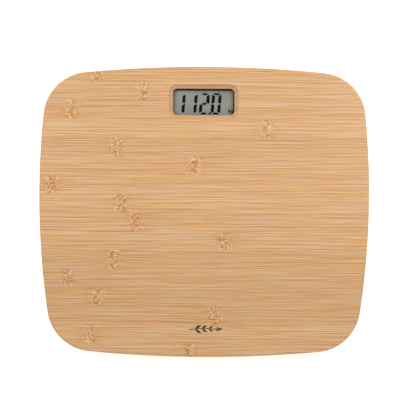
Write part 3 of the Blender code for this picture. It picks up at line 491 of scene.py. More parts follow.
def lathe(profile, steps=96, centre=(0, 0)):
    """A closed skin from a profile of (radius, z) that starts and ends on the axis."""
    shape = bmesh.new()
    rings = []
    for radius, z in profile:
        around = steps if radius > 0.0001 * MM else 1
        turns = [math.tau * i / steps for i in range(around)]
        rings.append(
            [
                shape.verts.new((centre[0] + radius * math.cos(t), centre[1] + radius * math.sin(t), z))
                for t in turns
            ]
        )
    for above, below in zip(rings, rings[1:]):
        for i in range(steps):
            after = (i + 1) % steps
            corners = [above[i % len(above)], below[i % len(below)]]
            if len(below) > 1:
                corners.append(below[after])
            if len(above) > 1:
                corners.append(above[after])
            shape.faces.new(corners)
    bmesh.ops.recalc_face_normals(shape, faces=shape.faces)
    return shape


def chamfered_bore(radius, top, mouth, chamfer, steps=96, centre=(0, 0)):
    """A cutter for a blind bore that widens by a chamfer at its mouth, below."""
    past = mouth - 0.1 * MM
    profile = [(0, top), (radius, top), (radius, past + chamfer), (radius + chamfer, past), (0, past)]
    return lathe(profile, steps, centre)


def moved(shape, matrix):
    bmesh.ops.transform(shape, matrix=matrix, verts=shape.verts)
    if matrix.determinant() < 0:
        bmesh.ops.reverse_faces(shape, faces=shape.faces)
    return shape


SHARP_ANGLE = math.radians(35)  # faces that meet at more than this keep a sharp edge
ALONG_X = Matrix(((0, 0, 1, 0), (1, 0, 0, 0), (0, 1, 0, 0), (0, 0, 0, 1)))  # (y, z) extruded along X
ALONG_Y = Matrix(((1, 0, 0, 0), (0, 0, -1, 0), (0, 1, 0, 0), (0, 0, 0, 1)))  # (x, z) extruded along Y


def turned_about_z(angle, middle=(0, 0)):
    return Matrix.Translation((*middle, 0)) @ Matrix.Rotation(angle, 4, "Z")


def carve(shape, *steps):
    """Runs exact Booleans in order. Each step is a shape to cut away, or ("UNION", shape)."""
    made = []

    def solid(piece):
        obj = bpy.data.objects.new(f"carve_{len(made)}", to_mesh(piece, "carve"))
        bpy.context.scene.collection.objects.link(obj)
        made.append(obj)
        return obj

    target = solid(shape)
    for step in steps:
        operation, piece = step if isinstance(step, tuple) else ("DIFFERENCE", step)
        modifier = target.modifiers.new("Carve", "BOOLEAN")
        modifier.operation = operation
        modifier.object = solid(piece)
    bpy.context.view_layer.update()
    graph = bpy.context.evaluated_depsgraph_get()
    mesh = bpy.data.meshes.new_from_object(target.evaluated_get(graph))
    result = bmesh.new()
    result.from_mesh(mesh)
    bmesh.ops.remove_doubles(result, verts=result.verts, dist=0.002 * MM)
    for obj in made:
        bpy.data.objects.remove(obj)
    return result


def union(shape):
    return ("UNION", shape)


def to_mesh(shape, name):
    mesh = bpy.data.meshes.new(name)
    shape.to_mesh(mesh)
    shape.free()
    return mesh


def tube(path, radius, sides=10):
    """A round bar along a path of points, closed at both ends."""
    circle = arc((0, 0), radius, 0, math.tau, sides)[:-1]
    rings = []
    for i, point in enumerate(path):
        ahead = Vector(path[min(i + 1, len(path) - 1)]) - Vector(path[max(i - 1, 0)])
        turn = ahead.to_track_quat("Z", "Y").to_matrix()
        rings.append([Vector(point) + turn @ Vector((x, y, 0)) for x, y in circle])
    return skin(rings)


def add_piece(name, shape, material, slot, stands_for=(), body="platform"):
    """Puts a shape or a mesh in the scene as a visible piece that rides on a body of the frame."""
    mesh = to_mesh(shape, name) if isinstance(shape, bmesh.types.BMesh) else shape
    mesh.name = name
    for used in material if isinstance(material, list) else [material]:
        mesh.materials.append(used)
    mesh.shade_smooth()
    mesh.set_sharp_from_angle(angle=SHARP_ANGLE)
    obj = bpy.data.objects.new(name, mesh)
    bpy.context.scene.collection.objects.link(obj)
    if body:
        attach(obj, body)
    if stands_for:
        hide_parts(*stands_for)
    return obj


def ccw(outline):
    area = sum(a[0] * b[1] - b[0] * a[1] for a, b in zip(outline, outline[1:] + outline[:1]))
    return outline if area > 0 else outline[::-1]


def printed(outlines, z):
    """Flat ink from outlines, each with the index of its material."""
    shape = bmesh.new()
    for outline, material_index in outlines:
        made = to_mesh(prism(ccw(outline), z), "ink")
        for face in made.polygons:
            face.material_index = material_index
        shape.from_mesh(made)
        bpy.data.meshes.remove(made)
    return shape


# Platform ------------
BOARD_LOW, BOARD_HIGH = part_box("bamboo_platform")
TOP = BOARD_HIGH.z
UNDERSIDE = BOARD_LOW.z
SIDE_BOW_RADIUS = 725 * MM
SIDE_CREST_Y = 16 * MM
END_BOW_RADIUS = 1100 * MM
CORNER_RADIUS = 42 * MM
EDGE_ROUND = 2 * MM
LIP_BOTTOM = TOP - 4 * MM
WINDOW_CENTRE = (-0.8 * MM, 100.1 * MM)
WINDOW_SIZE = (56 * MM, 23.9 * MM)
WINDOW_CORNER = 4 * MM
WINDOW_SLOPE = (3.6 * MM, 2.4 * MM)  # how far the rim widens, and over what height
POCKET_CENTRE = (0, 100 * MM)
POCKET_SIZE = (74 * MM, 39 * MM)
POCKET_CORNER = 5 * MM
GAP = 0.3 * MM
CUT = 1 * MM

HOUSING_LOW, HOUSING_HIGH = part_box("display_housing")
HOUSING_CENTRE = tuple((HOUSING_LOW + HOUSING_HIGH).xy / 2)
HOUSING_SIZE = tuple((HOUSING_HIGH - HOUSING_LOW).xy)
HOUSING_CORNER = 10 * MM
WALL = 1.6 * MM
HOUSING_FLOOR = HOUSING_LOW.z + WALL
POST_OFFSET = (48.5 * MM, 28.5 * MM)
POST_RADIUS = 4.6 * MM
REST_OFFSET = (39 * MM, 23 * MM)  # the posts that the circuit board rests on
REST_RADIUS = 2.5 * MM
REST_TOP = 9.1 * MM
COUNTERBORE_TOP = HOUSING_LOW.z + 2.3 * MM

SEAT_LOW, SEAT_HIGH = (corner.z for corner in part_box("load_cell_housing_rear_left"))
SEAT_CEILING = SEAT_HIGH - 1.8 * MM
SKIRT_RADIUS = 25.8 * MM
SKIRT_INNER = 23.4 * MM
FLANGE = (HOUSING_HIGH.z - 1.5 * MM, HOUSING_HIGH.z)
FLANGE_RADIUS = 29 * MM
EAR_DISTANCE = 30 * MM
EAR_RADIUS = 6 * MM
BARB = (7.2 * MM, 8.9 * MM)
BARB_REACH = 25 * MM
BARB_WIDTH = 7 * MM
BARB_ANGLES = (60, 180, 300)
SHELL_RADIUS = 22.8 * MM
SHELL_WALL = 1.8 * MM
SHELL_BOTTOM, SHELL_RIM = 1 * MM, 9 * MM
BOSS_RADIUS = 5 * MM
PAD_RADIUS = 19.2 * MM
PAD_TOP = 2 * MM
PAD_RINGS = (15.5 * MM, 12 * MM, 8.5 * MM, 5 * MM)
CELL_SIZE = 34 * MM
CELL_CORNER = 4 * MM
CELL_LOW, CELL_HIGH = (corner.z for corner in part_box("load_cell_rear_left"))

GROOVE_WIDTH = 6 * MM
GROOVE_DEPTH = 3.5 * MM
COVER_THICKNESS = 1 * MM
LEAD_START = 13.3 * MM
LEAD_Z = (13.3 * MM, 15.05 * MM, 12.05 * MM)  # over the cell, in the groove, on the board
WIRE_RADIUS = 0.34 * MM
WIRE_TWIST = 22 * MM

# Shank radius, shank length, head radius and head height
FOOT_SCREW = (1.45 * MM, 7 * MM, 2.8 * MM, 1.9 * MM)
HOUSING_SCREW = (1.45 * MM, 13 * MM, 2.8 * MM, 1.9 * MM)


def centre_of(node):
    low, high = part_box(node)
    return (low + high) / 2


def foot_places():
    """Each foot's name, middle, the way that its wires run and how far they go."""
    for end, lead_end in (("front", (35 * MM, 67 * MM)), ("rear", (39 * MM, 84 * MM))):
        for side, sign in (("left", -1), ("right", 1)):
            middle = centre_of(f"foot_pad_{end}_{side}").xy
            along = Vector((sign * lead_end[0], lead_end[1])) - middle
            yield f"{end}_{side}", middle, math.atan2(along.y, along.x), along.length


def housing_screw_places():
    for end, y in (("front", -1), ("rear", 1)):
        for side, x in (("left", -1), ("right", 1)):
            place = (HOUSING_CENTRE[0] + x * POST_OFFSET[0], HOUSING_CENTRE[1] + y * POST_OFFSET[1])
            yield f"{end}_{side}", place


def right_crossing(first, first_radius, second, second_radius):
    """The point furthest to +X where two circles cross."""
    apart = Vector(second) - Vector(first)
    along = (first_radius**2 - second_radius**2 + apart.length_squared) / (2 * apart.length)
    aside = math.sqrt(first_radius**2 - along**2)
    unit = apart.normalized()
    middle = Vector(first) + unit * along
    across = Vector((-unit.y, unit.x)) * aside
    return max(middle + across, middle - across, key=lambda point: point.x)


def heading(start, end):
    return math.atan2(end[1] - start[1], end[0] - start[0])


def platform_outline(inset=0.0, end_steps=14, corner_steps=24, side_steps=24):
    """Four bowed sides with tangent corners. An inset shortens every radius alike."""
    side_radius, end_radius = SIDE_BOW_RADIUS, END_BOW_RADIUS
    side = (BOARD_HIGH.x - side_radius, SIDE_CREST_Y)
    front = (0, BOARD_LOW.y + end_radius)
    rear = (0, BOARD_HIGH.y - end_radius)
    low, high = (
        right_crossing(side, side_radius - CORNER_RADIUS, end, end_radius - CORNER_RADIUS)
        for end in (front, rear)
    )
    front_turn, rear_turn = heading(front, low), heading(rear, high)
    low_turn, high_turn = heading(side, low), heading(side, high)
    corner = CORNER_RADIUS - inset
    half = (
        arc(front, end_radius - inset, -math.pi / 2, front_turn, end_steps)[:-1]
        + arc(low, corner, front_turn, low_turn, corner_steps)[:-1]
        + arc(side, side_radius - inset, low_turn, high_turn, side_steps)[:-1]
        + arc(high, corner, high_turn, rear_turn, corner_steps)[:-1]
        + arc(rear, end_radius - inset, rear_turn, math.pi / 2, end_steps)
    )
    return half + [(-x, y) for x, y in reversed(half[1:-1])]


def window_cutter():
    """The window's straight throat, then a slope with softened edges up to the top."""

    def section(widening, z):
        size = [side + 2 * widening for side in WINDOW_SIZE]
        return rounded_rectangle(size, WINDOW_CORNER + widening, WINDOW_CENTRE, 12), z

    width, height = WINDOW_SLOPE
    rim = rounded(
        [
            (0, LIP_BOTTOM - CUT),
            (0, TOP - height, 0.5 * MM),
            (0.75 * width, TOP - 0.4 * height, 0.4 * MM),
            (width, TOP, 0.3 * MM),
            (width + 1 * MM, TOP),
        ],
        5,
    )[:-1]
    return stack(*(section(*point) for point in rim), section(rim[-1][0], TOP + CUT))


def make_platform():
    below = UNDERSIDE - CUT
    board = soft_plate(platform_outline, (UNDERSIDE, TOP), EDGE_ROUND, EDGE_ROUND, 6)
    pocket = rounded_rectangle(POCKET_SIZE, POCKET_CORNER, POCKET_CENTRE)
    cuts = [window_cutter(), prism(pocket, (below, LIP_BOTTOM))]
    for _, middle, turn, length in foot_places():
        place = turned_about_z(turn, middle)
        well = cylinder(SKIRT_RADIUS + GAP, (below, SEAT_HIGH + GAP), steps=96)
        groove = prism(
            slot(SKIRT_RADIUS - 4 * MM, length + 1 * MM, GROOVE_WIDTH), (below, UNDERSIDE + GROOVE_DEPTH)
        )
        cuts += [moved(well, place), moved(groove, place)]
        for side in (-1, 1):
            hole = cylinder(
                FOOT_SCREW[0] + GAP, (below, FLANGE[0] + FOOT_SCREW[1]), (0, side * EAR_DISTANCE), 24
            )
            cuts.append(moved(hole, place))
    for _, place in housing_screw_places():
        cuts.append(
            cylinder(HOUSING_SCREW[0] + GAP, (below, COUNTERBORE_TOP + HOUSING_SCREW[1]), place, 24)
        )
    piece = add_piece("platform_board", carve(board, *cuts), BAMBOO, "bamboo", ["bamboo_platform"])
    weighted = piece.modifiers.new("Weighted normals", "WEIGHTED_NORMAL")
    weighted.keep_sharp = True
    weighted.weight = 100


# Leaf mark ------------
MARK_PLACE = (2 * MM, -107 * MM)
MARK_LENGTH = 31 * MM


def leaf(base, tip, width, steps=9):
    """A pointed leaf between two points."""
    along = Vector(tip) - Vector(base)
    across = Vector((-along.y, along.x)).normalized() * width / 2

    def edge(sign, first):
        for i in range(first, steps):
            share = i / steps
            bulge = math.sin(math.pi * share**0.8) ** 1.1
            yield tuple(Vector(base) + along * share + across * (sign * bulge))

    return [*edge(1, 0), tuple(tip), *reversed(list(edge(-1, 1)))]


def make_mark():
    """A generic sprig with paired leaves, printed on the platform."""
    half = MARK_LENGTH / 2
    stem = [(-half + MARK_LENGTH * 0.8 * i / 12, 0.9 * MM * math.sin(2.6 * i / 12)) for i in range(13)]
    width = 0.35 * MM
    outlines = [[(x, y - width) for x, y in stem] + [(x, y + width) for x, y in reversed(stem)]]
    for place in (3, 6, 9, 12):
        x, y = stem[place]
        reach = MARK_LENGTH * (0.25 - 0.012 * place)
        for side in (1, -1):
            tip = (x + 0.8 * reach, y + side * 0.6 * reach)
            outlines.append(leaf((x - 0.3 * MM, y + side * 0.5 * MM), tip, 0.34 * reach))
    x, y = stem[-1]
    outlines.append(leaf((x + 0.6 * MM, y), (half, y + 0.3 * MM), 1.9 * MM))
    placed = [([(MARK_PLACE[0] + x, MARK_PLACE[1] + y) for x, y in outline], 0) for outline in outlines]
    add_piece("leaf_mark", printed(placed, (TOP, TOP + 0.03 * MM)), MARK, "bamboo")


# Display ------------
LENS_LOW, LENS_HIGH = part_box("display_window")
PANEL_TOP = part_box("lcd_panel")[1].z
FILM = (PANEL_TOP, PANEL_TOP + 0.12 * MM)
FILM_X = (-28 * MM, 29 * MM)
INK_Z = (FILM[1], FILM[1] + 0.03 * MM)
SHADOW_X, SHADOW_Y = 26.5 * MM, 110.5 * MM  # where the black sheet of painted shadow starts, right and rear

DIGIT_RIGHTS = (-19.2 * MM, -8.3 * MM, 2.75 * MM, 13.55 * MM)  # right strokes at the digits' middle height
DIGIT_MIDDLE = 98.6 * MM
DIGIT_WIDTH = 5.95 * MM  # between the middles of the upright strokes
DIGIT_HALF = 8.7 * MM  # from the middle to the middle of the top stroke
DIGIT_SLANT = math.tan(math.radians(4.7))
STROKE = 2.9 * MM  # the upright strokes
BAR = 2.0 * MM  # the level strokes
SEGMENT_GAP = 0.22 * MM
DIGITS = ("bc", "bc", "abged", "abcdef")
POINT_CENTRE, POINT_SIZE = (4.8 * MM, 89.6 * MM), (1.9 * MM, 2.6 * MM)
UNIT_CORNER = (21.9 * MM, 90.4 * MM)
UNIT_STROKE = 0.75 * MM


def make_lens():
    """A clear window whose raised middle stands in the platform's opening."""
    low, high = LENS_LOW.z, LENS_HIGH.z
    flange = soft_plate(
        soft_rectangle((LENS_HIGH - LENS_LOW).xy, 5 * MM, WINDOW_CENTRE), (low, low + 1 * MM), 0.15 * MM
    )
    raised = soft_plate(
        soft_rectangle([side - 0.8 * MM for side in WINDOW_SIZE], WINDOW_CORNER - 0.4 * MM, WINDOW_CENTRE),
        (low + 0.5 * MM, high),
        0,
        0.25 * MM,
    )
    add_piece("display_lens", carve(flange, union(raised)), CLEAR, "clear_plastic", ["display_window"])


def make_film():
    """The polarising film, which leaves the glass bare along its left and front edges, with a black sheet
    of painted shadow along its rear and right edges.
    """
    middle = [(a + b) / 2 for a, b in (FILM_X, FILM_Y)]
    size = (FILM_X[1] - FILM_X[0], FILM_Y[1] - FILM_Y[0])
    film = soft_plate(soft_rectangle(size, 0.5 * MM, middle), FILM, 0, 0.04 * MM, 2)
    add_piece("lcd_film", film, LCD, "lcd_glass")
    # Painted shadow: a black sheet along the rear and right edges, where the rim's shadow falls on the
    # film.
    shadow_outline = [
        (FILM_X[0], SHADOW_Y),
        (SHADOW_X, SHADOW_Y),
        (SHADOW_X, FILM_Y[0]),
        (FILM_X[1], FILM_Y[0]),
        (FILM_X[1], FILM_Y[1]),
        (FILM_X[0], FILM_Y[1]),
    ]
    add_piece("lcd_painted_shadow", prism(shadow_outline, INK_Z), BLACK, "lcd_glass")


def segments(letters, right):
    """The outlines of a digit's strokes, as (letter, outline)."""
    t, h, top = STROKE / 2, BAR / 2, DIGIT_HALF
    left_x, right_x = -DIGIT_WIDTH, 0.0
    gap = SEGMENT_GAP

    def upright(x, inner, low, high):
        """inner is the side, -1 or 1, on which the digit's middle lies."""
        outer = -inner
        return [
            (x + outer * t * 0.55, low),
            (x + inner * t, low + t * 0.7),
            (x + inner * t, high - t * 0.7),
            (x + outer * t * 0.55, high),
            (x + outer * t, high - t * 0.25),
            (x + outer * t, low + t * 0.25),
        ]

    strokes = {
        "b": upright(right_x, -1, gap, top - 0.3 * t),
        "c": upright(right_x, -1, -top + 0.3 * t, -gap),
        "f": upright(left_x, 1, gap, top - 0.3 * t),
        "e": upright(left_x, 1, -top + 0.3 * t, -gap),
        "a": [
            (left_x - 0.1 * t, top + h),
            (right_x + 0.1 * t, top + h),
            (right_x - 0.3 * t, top + 0.2 * h),
            (right_x - 1.1 * t, top - h),
            (left_x + 1.1 * t, top - h),
            (left_x + 0.3 * t, top + 0.2 * h),
        ],
        "g": [
            (left_x + 0.4 * t, 0),
            (left_x + 1.1 * t, h),
            (right_x - 1.1 * t, h),
            (right_x - 0.4 * t, 0),
            (right_x - 1.1 * t, -h),
            (left_x + 1.1 * t, -h),
        ],
    }
    strokes["d"] = [(x, -y) for x, y in strokes["a"]]
    for letter in letters:
        yield letter, [(right + x + DIGIT_SLANT * y, DIGIT_MIDDLE + y) for x, y in strokes[letter]]


def bar(start, end, width):
    along = Vector(end) - Vector(start)
    across = Vector((-along.y, along.x)).normalized() * width / 2
    return [tuple(Vector(p) + s * across) for p, s in ((start, 1), (start, -1), (end, -1), (end, 1))]


def make_numerals():
    outlines = []
    for letters, right in zip(DIGITS, DIGIT_RIGHTS):
        outlines += [(outline, int(letter == "a")) for letter, outline in segments(letters, right)]
    outlines.append((rounded_rectangle(POINT_SIZE, 0.5 * MM, POINT_CENTRE, 3), 0))

    x, y = UNIT_CORNER
    strokes = [
        ((0, 0), (0, 3.6)),
        ((0.2, 1.2), (1.5, 2.5)),
        ((0.5, 1.4), (1.6, 0)),
        ((2.3, 2.3), (4.0, 2.3)),
        ((2.3, 0.2), (2.3, 2.5)),
        ((2.3, 0.2), (3.9, 0.2)),
        ((3.9, 2.5), (3.9, -1.1)),
        ((3.9, -1.0), (2.4, -1.0)),
    ]
    for stroke in strokes:
        start, end = ((x + across * MM, y + up * MM) for across, up in stroke)
        outlines.append((bar(start, end, UNIT_STROKE), 1))
    add_piece("lcd_numerals", printed(outlines, INK_Z), [INK, FAINT_INK], "lcd_glass")


# Underside: housing, battery door and button ------------
WELL_CENTRE = (22 * MM, 71 * MM)
WELL_SIZE = (22 * MM, 28 * MM)
WELL_TOP = 8.6 * MM
DOOR_END_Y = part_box("battery_door")[1].y
DOOR_THICKNESS = 1.4 * MM
HINGE_Z = HOUSING_LOW.z + 1.1 * MM
HINGE_Y = 58.5 * MM
TO_HINGE = Matrix.Translation((WELL_CENTRE[0], HINGE_Y, HINGE_Z)) @ ALONG_X
NOTCH_RADIUS, NOTCH_REACH = 4 * MM, 5.5 * MM  # the finger notch at the door's free end
BUTTON_CENTRE = (-22 * MM, 70 * MM)
BUTTON_RADIUS = 3.2 * MM


def make_housing():
    low, high = HOUSING_LOW.z, HOUSING_HIGH.z
    housing = soft_plate(
        soft_rectangle(HOUSING_SIZE, HOUSING_CORNER, HOUSING_CENTRE), (low, high), 1.5 * MM, 0.3 * MM, 6
    )
    inside = rounded_rectangle(
        [side - 2 * WALL for side in HOUSING_SIZE], HOUSING_CORNER - WALL, HOUSING_CENTRE
    )
    root = HOUSING_FLOOR - 0.5 * MM
    walls = rounded_rectangle([side + 2 * WALL for side in WELL_SIZE], 1.5 * MM, WELL_CENTRE)
    steps = [prism(inside, (HOUSING_FLOOR, high + CUT)), union(prism(walls, (root, WELL_TOP)))]
    for _, place in housing_screw_places():
        steps.append(union(cylinder(POST_RADIUS, (root, high - 0.2 * MM), place)))
    for x in (-REST_OFFSET[0], REST_OFFSET[0]):
        for y in (-REST_OFFSET[1], REST_OFFSET[1]):
            place = (HOUSING_CENTRE[0] + x, HOUSING_CENTRE[1] + y)
            steps.append(union(cylinder(REST_RADIUS, (root, REST_TOP), place)))
    for _, place in housing_screw_places():
        bore = chamfered_bore(HOUSING_SCREW[2] + 0.4 * MM, COUNTERBORE_TOP, low, 0.5 * MM, 48, place)
        steps += [bore, cylinder(HOUSING_SCREW[0] + GAP, (COUNTERBORE_TOP - CUT, high + CUT), place)]
    well = rounded_rectangle(WELL_SIZE, 0.5 * MM, WELL_CENTRE, 3)
    notch = (WELL_CENTRE[0], WELL_CENTRE[1] + WELL_SIZE[1] / 2 + 1.2 * MM, low - 3 * MM)
    steps += [
        prism(well, (low - CUT, WELL_TOP + CUT)),
        moved(cylinder(0.75 * MM, (-12.2 * MM, 12.2 * MM)), TO_HINGE),
        cylinder(BUTTON_RADIUS + GAP, (low - CUT, HOUSING_FLOOR + CUT), BUTTON_CENTRE, 48),
        lathe(
            [
                (0, low + 0.5 * MM),
                (BUTTON_RADIUS + 2.0 * MM, low + 0.5 * MM),
                (BUTTON_RADIUS + 2.6 * MM, low - 0.1 * MM),
                (0, low - 0.1 * MM),
            ],
            48,
            BUTTON_CENTRE,
        ),
        moved(
            cylinder(NOTCH_RADIUS, (-NOTCH_REACH, NOTCH_REACH), steps=64),
            Matrix.Translation(notch) @ ALONG_X,
        ),
    ]
    housing = carve(housing, *steps)
    add_piece("electronics_housing", housing, GREY, "grey_plastic", ["display_housing"])


def make_door():
    middle_x = WELL_CENTRE[0]
    width = WELL_SIZE[0] - 2 * GAP
    low, high = HOUSING_LOW.z, HOUSING_LOW.z + DOOR_THICKNESS
    plate = soft_rectangle(
        (width, DOOR_END_Y - HINGE_Y), 0.4 * MM, (middle_x, (DOOR_END_Y + HINGE_Y) / 2)
    )
    door = soft_plate(plate, (low, high), 0.2 * MM, 0.1 * MM, 2)
    length = width - 0.2 * MM
    steps = [
        union(moved(cylinder(radius, (-reach / 2, reach / 2), steps=32), TO_HINGE))
        for radius, reach in ((1 * MM, length), (0.45 * MM, length + 2.4 * MM))
    ]
    for sign in (-1, 1):
        slit = middle_x + sign * 4.5 * MM
        across = (slit - 0.5 * MM, slit + 0.5 * MM)
        steps.append(box(across, (DOOR_END_Y - 7 * MM, DOOR_END_Y + CUT), (low - CUT, high + CUT)))
    ridge = [(0, 0.4), (0, -0.2), (0.15, -0.38), (0.55, -0.38), (0.7, -0.2), (0.7, 0.4)]
    for i in range(3):
        y = DOOR_END_Y - (2 + 1.6 * i) * MM
        outline = [(y + out * MM, low + up * MM) for out, up in ridge]
        place = Matrix.Translation((middle_x, 0, 0)) @ ALONG_X
        steps.append(union(moved(prism(ccw(outline), (-3 * MM, 3 * MM)), place)))
    tip = HINGE_Y + 6 * MM
    arrow = [(middle_x, tip), (middle_x + 2.6 * MM, tip + 3.6 * MM), (middle_x - 2.6 * MM, tip + 3.6 * MM)]
    steps.append(prism(ccw(arrow), (low - CUT, low + 0.3 * MM)))
    door = carve(door, *steps)
    add_piece("battery_cover", door, GREY, "grey_plastic", ["battery_door"], "battery_door")


def make_button():
    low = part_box("unit_button")[0].z
    flange = (HOUSING_FLOOR + GAP, HOUSING_FLOOR + GAP + 0.7 * MM)
    profile = rounded(
        [
            (0, flange[1]),
            (BUTTON_RADIUS + 1.1 * MM, flange[1], 0.15 * MM),
            (BUTTON_RADIUS + 1.1 * MM, flange[0]),
            (BUTTON_RADIUS, flange[0]),
            (BUTTON_RADIUS, low, 0.45 * MM),
            (BUTTON_RADIUS - 0.9 * MM, low),
            (BUTTON_RADIUS - 1.7 * MM, low + 0.15 * MM),
            (0, low + 0.3 * MM),
        ]
    )
    key = lathe(profile, 64, BUTTON_CENTRE)
    add_piece("unit_key", key, BLACK, "black_plastic", ["unit_button"], "unit_button")


def make_battery():
    low, high = (corner.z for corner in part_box("battery_cell"))
    place = centre_of("battery_cell").xy
    rim = high - 0.8 * MM
    profile = rounded(
        [
            (0, high),
            (7.8 * MM, high, 0.2 * MM),
            (8.5 * MM, rim + 0.35 * MM),
            (8.8 * MM, rim + 0.35 * MM, 0.1 * MM),
            (9.2 * MM, rim, 0.1 * MM),
            (10 * MM, rim, 0.25 * MM),
            (10 * MM, low, 0.5 * MM),
            (7 * MM, low),
            (6.8 * MM, low + 0.08 * MM),
            (0, low + 0.08 * MM),
        ]
    )
    add_piece("coin_cell", lathe(profile, 96, place), STEEL, "zinc_steel", ["battery_cell"])


# Feet, in their own axes: the wires leave along +X ------------
def flange_outline(inset=0.0):
    radius, ear = FLANGE_RADIUS - inset, EAR_RADIUS - inset
    shared = math.acos((radius**2 + EAR_DISTANCE**2 - ear**2) / (2 * radius * EAR_DISTANCE))
    crossing = radius * math.sin(shared), radius * math.cos(shared) - EAR_DISTANCE
    ear_turn = math.atan2(crossing[1], crossing[0])
    half = math.pi / 2
    return (
        arc((0, 0), radius, shared - half, half - shared, 40)[:-1]
        + arc((0, EAR_DISTANCE), ear, ear_turn, math.pi - ear_turn, 20)[:-1]
        + arc((0, 0), radius, half + shared, 3 * half - shared, 40)[:-1]
        + arc((0, -EAR_DISTANCE), ear, math.pi + ear_turn, math.tau - ear_turn, 20)[:-1]
    )


def seat_shape():
    """The load cell's housing: a lid with ribs over the cell, and a skirt around the foot."""
    lid = rounded(
        [
            (0, SEAT_HIGH),
            (SKIRT_RADIUS, SEAT_HIGH, 0.6 * MM),
            (SKIRT_RADIUS, SEAT_LOW, 0.5 * MM),
            (0, SEAT_LOW),
        ]
    )
    steps = [union(soft_plate(flange_outline, FLANGE, 0.4 * MM, 0))]
    steps.append(chamfered_bore(SKIRT_INNER, SEAT_CEILING, SEAT_LOW, 0.6 * MM))
    root = SEAT_CEILING + 0.6 * MM
    for side in (-1, 1):
        rib, post, hook = (
            sorted((side * near * MM, side * far * MM))
            for near, far in ((14.2, 15.8), (17.6, 19.2), (16.2, 18.6))
        )
        steps += [
            union(box((-19 * MM, 19 * MM), rib, (CELL_HIGH + GAP, root))),
            union(box((-3 * MM, 3 * MM), post, (CELL_LOW - GAP - 0.8 * MM, root))),
            union(box((-2.6 * MM, 2.6 * MM), hook, (CELL_LOW - GAP - 0.7 * MM, CELL_LOW - GAP))),
            cylinder(FOOT_SCREW[0] + GAP, (FLANGE[0] - CUT, FLANGE[1] + CUT), (0, side * EAR_DISTANCE)),
        ]
    steps.append(
        box((21 * MM, SKIRT_RADIUS + CUT), (-2 * MM, 2 * MM), (FLANGE[1] + 0.2 * MM, SEAT_HIGH + CUT))
    )
    for angle in BARB_ANGLES:
        reach = (SKIRT_INNER - CUT, SKIRT_RADIUS + CUT)
        width = (-BARB_WIDTH / 2 - 1 * MM, BARB_WIDTH / 2 + 1 * MM)
        opening = box(reach, width, (BARB[0] - GAP, BARB[1] + 0.8 * MM))
        steps.append(moved(opening, turned_about_z(math.radians(angle))))
    return carve(lathe(lid), *steps)


def shell_shape():
    """A cup with a boss that bears on the tongue, a recess for the pad and three barbs."""
    inner = SHELL_RADIUS - SHELL_WALL
    floor = PAD_TOP + 2.2 * MM
    boss_top = CELL_LOW - GAP
    profile = rounded(
        [
            (0, boss_top),
            (BOSS_RADIUS, boss_top, 0.8 * MM),
            (BOSS_RADIUS, floor, 0.5 * MM),
            (inner, floor, 0.5 * MM),
            (inner, SHELL_RIM, 0.2 * MM),
            (SHELL_RADIUS, SHELL_RIM, 0.5 * MM),
            (SHELL_RADIUS, SHELL_BOTTOM, 1.2 * MM),
            (PAD_RADIUS + GAP, SHELL_BOTTOM, 0.2 * MM),
            (PAD_RADIUS + GAP, PAD_TOP + GAP),
            (0, PAD_TOP + GAP),
        ]
    )
    wedge = [
        (SHELL_RADIUS - 1 * MM, BARB[0]),
        (BARB_REACH, BARB[0]),
        (BARB_REACH, BARB[0] + 0.5 * MM),
        (SHELL_RADIUS, BARB[1]),
        (SHELL_RADIUS - 1 * MM, BARB[1]),
    ]
    barbs = []
    for angle in BARB_ANGLES:
        barb = prism(wedge, (-BARB_WIDTH / 2, BARB_WIDTH / 2))
        barbs.append(union(moved(barb, turned_about_z(math.radians(angle)) @ ALONG_Y)))
    return carve(lathe(profile), *barbs)


def pad_shape():
    """The rubber pad, with rings moulded into its sole."""
    profile = [(0, PAD_TOP), (PAD_RADIUS, PAD_TOP, 0.2 * MM), (PAD_RADIUS, 0, 0.6 * MM)]
    for ring in PAD_RINGS:
        groove = ((0.7, 0), (0.5, 0.5), (-0.5, 0.5), (-0.7, 0))
        profile += [(ring + out * MM, depth * MM, 0.12 * MM) for out, depth in groove]
    return lathe(rounded(profile + [(0, 0)], 3))


def cell_shapes():
    """The steel plate with a U-shaped opening, and the tongue inside it."""
    z = (CELL_LOW, CELL_HIGH)
    outer, inner, left, right = 9 * MM, 7 * MM, -10 * MM, 8 * MM
    plate = soft_plate(soft_rectangle((CELL_SIZE, CELL_SIZE), CELL_CORNER), z, 0.15 * MM, 0.15 * MM, 2)
    opening = prism(rectangle((left, right), (-outer, outer)), (z[0] - CUT, z[1] + CUT))
    root = left + 2 * MM
    columns = [root + (right - root) * i / 12 for i in range(13)]
    tongue = stack(*((rectangle((-inner, inner), z), x) for x in columns))
    return carve(plate, opening), moved(tongue, ALONG_X)


def screw_shape(screw):
    """A pan-head screw with a cross recess, pointing up, with its head's underside at zero."""
    radius, length, head, height = screw
    profile = rounded(
        [
            (0, length),
            (0.3 * radius, length),
            (radius, length - 1.5 * radius),
            (radius, 0, 0.1 * MM),
            (head, 0, 0.15 * MM),
            (head, -0.62 * height, 0.5 * MM),
            (0.72 * head, -height, 0.8 * MM),
            (0, -height),
        ]
    )
    long, narrow = 0.6 * head, 0.16 * head
    bottom, top = -0.4 * height, -height - 0.2 * MM
    cross = [
        stack(
            (rectangle((-x, x), (-y, y)), top),
            (rectangle((-0.45 * x, 0.45 * x), (-0.7 * y, 0.7 * y)), bottom),
        )
        for x, y in ((long, narrow), (narrow / 0.7 * 0.9, long * 0.9))
    ]
    return carve(lathe(profile, 48), *cross)


def lead_route(length):
    """(x, z) points over the cell, along the groove and down to the board."""

    def ramp(start, end, low, high, steps=8):
        for i in range(steps + 1):
            share = i / steps
            yield start + (end - start) * share, low + (high - low) * (1 - math.cos(math.pi * share)) / 2

    over_cell, in_groove, on_board = LEAD_Z
    route = [(LEAD_START, over_cell)]
    route += ramp(19 * MM, 27 * MM, over_cell, in_groove)
    route += ramp(length - 12 * MM, length - 4 * MM, in_groove, on_board)
    return route + [(length, on_board)]


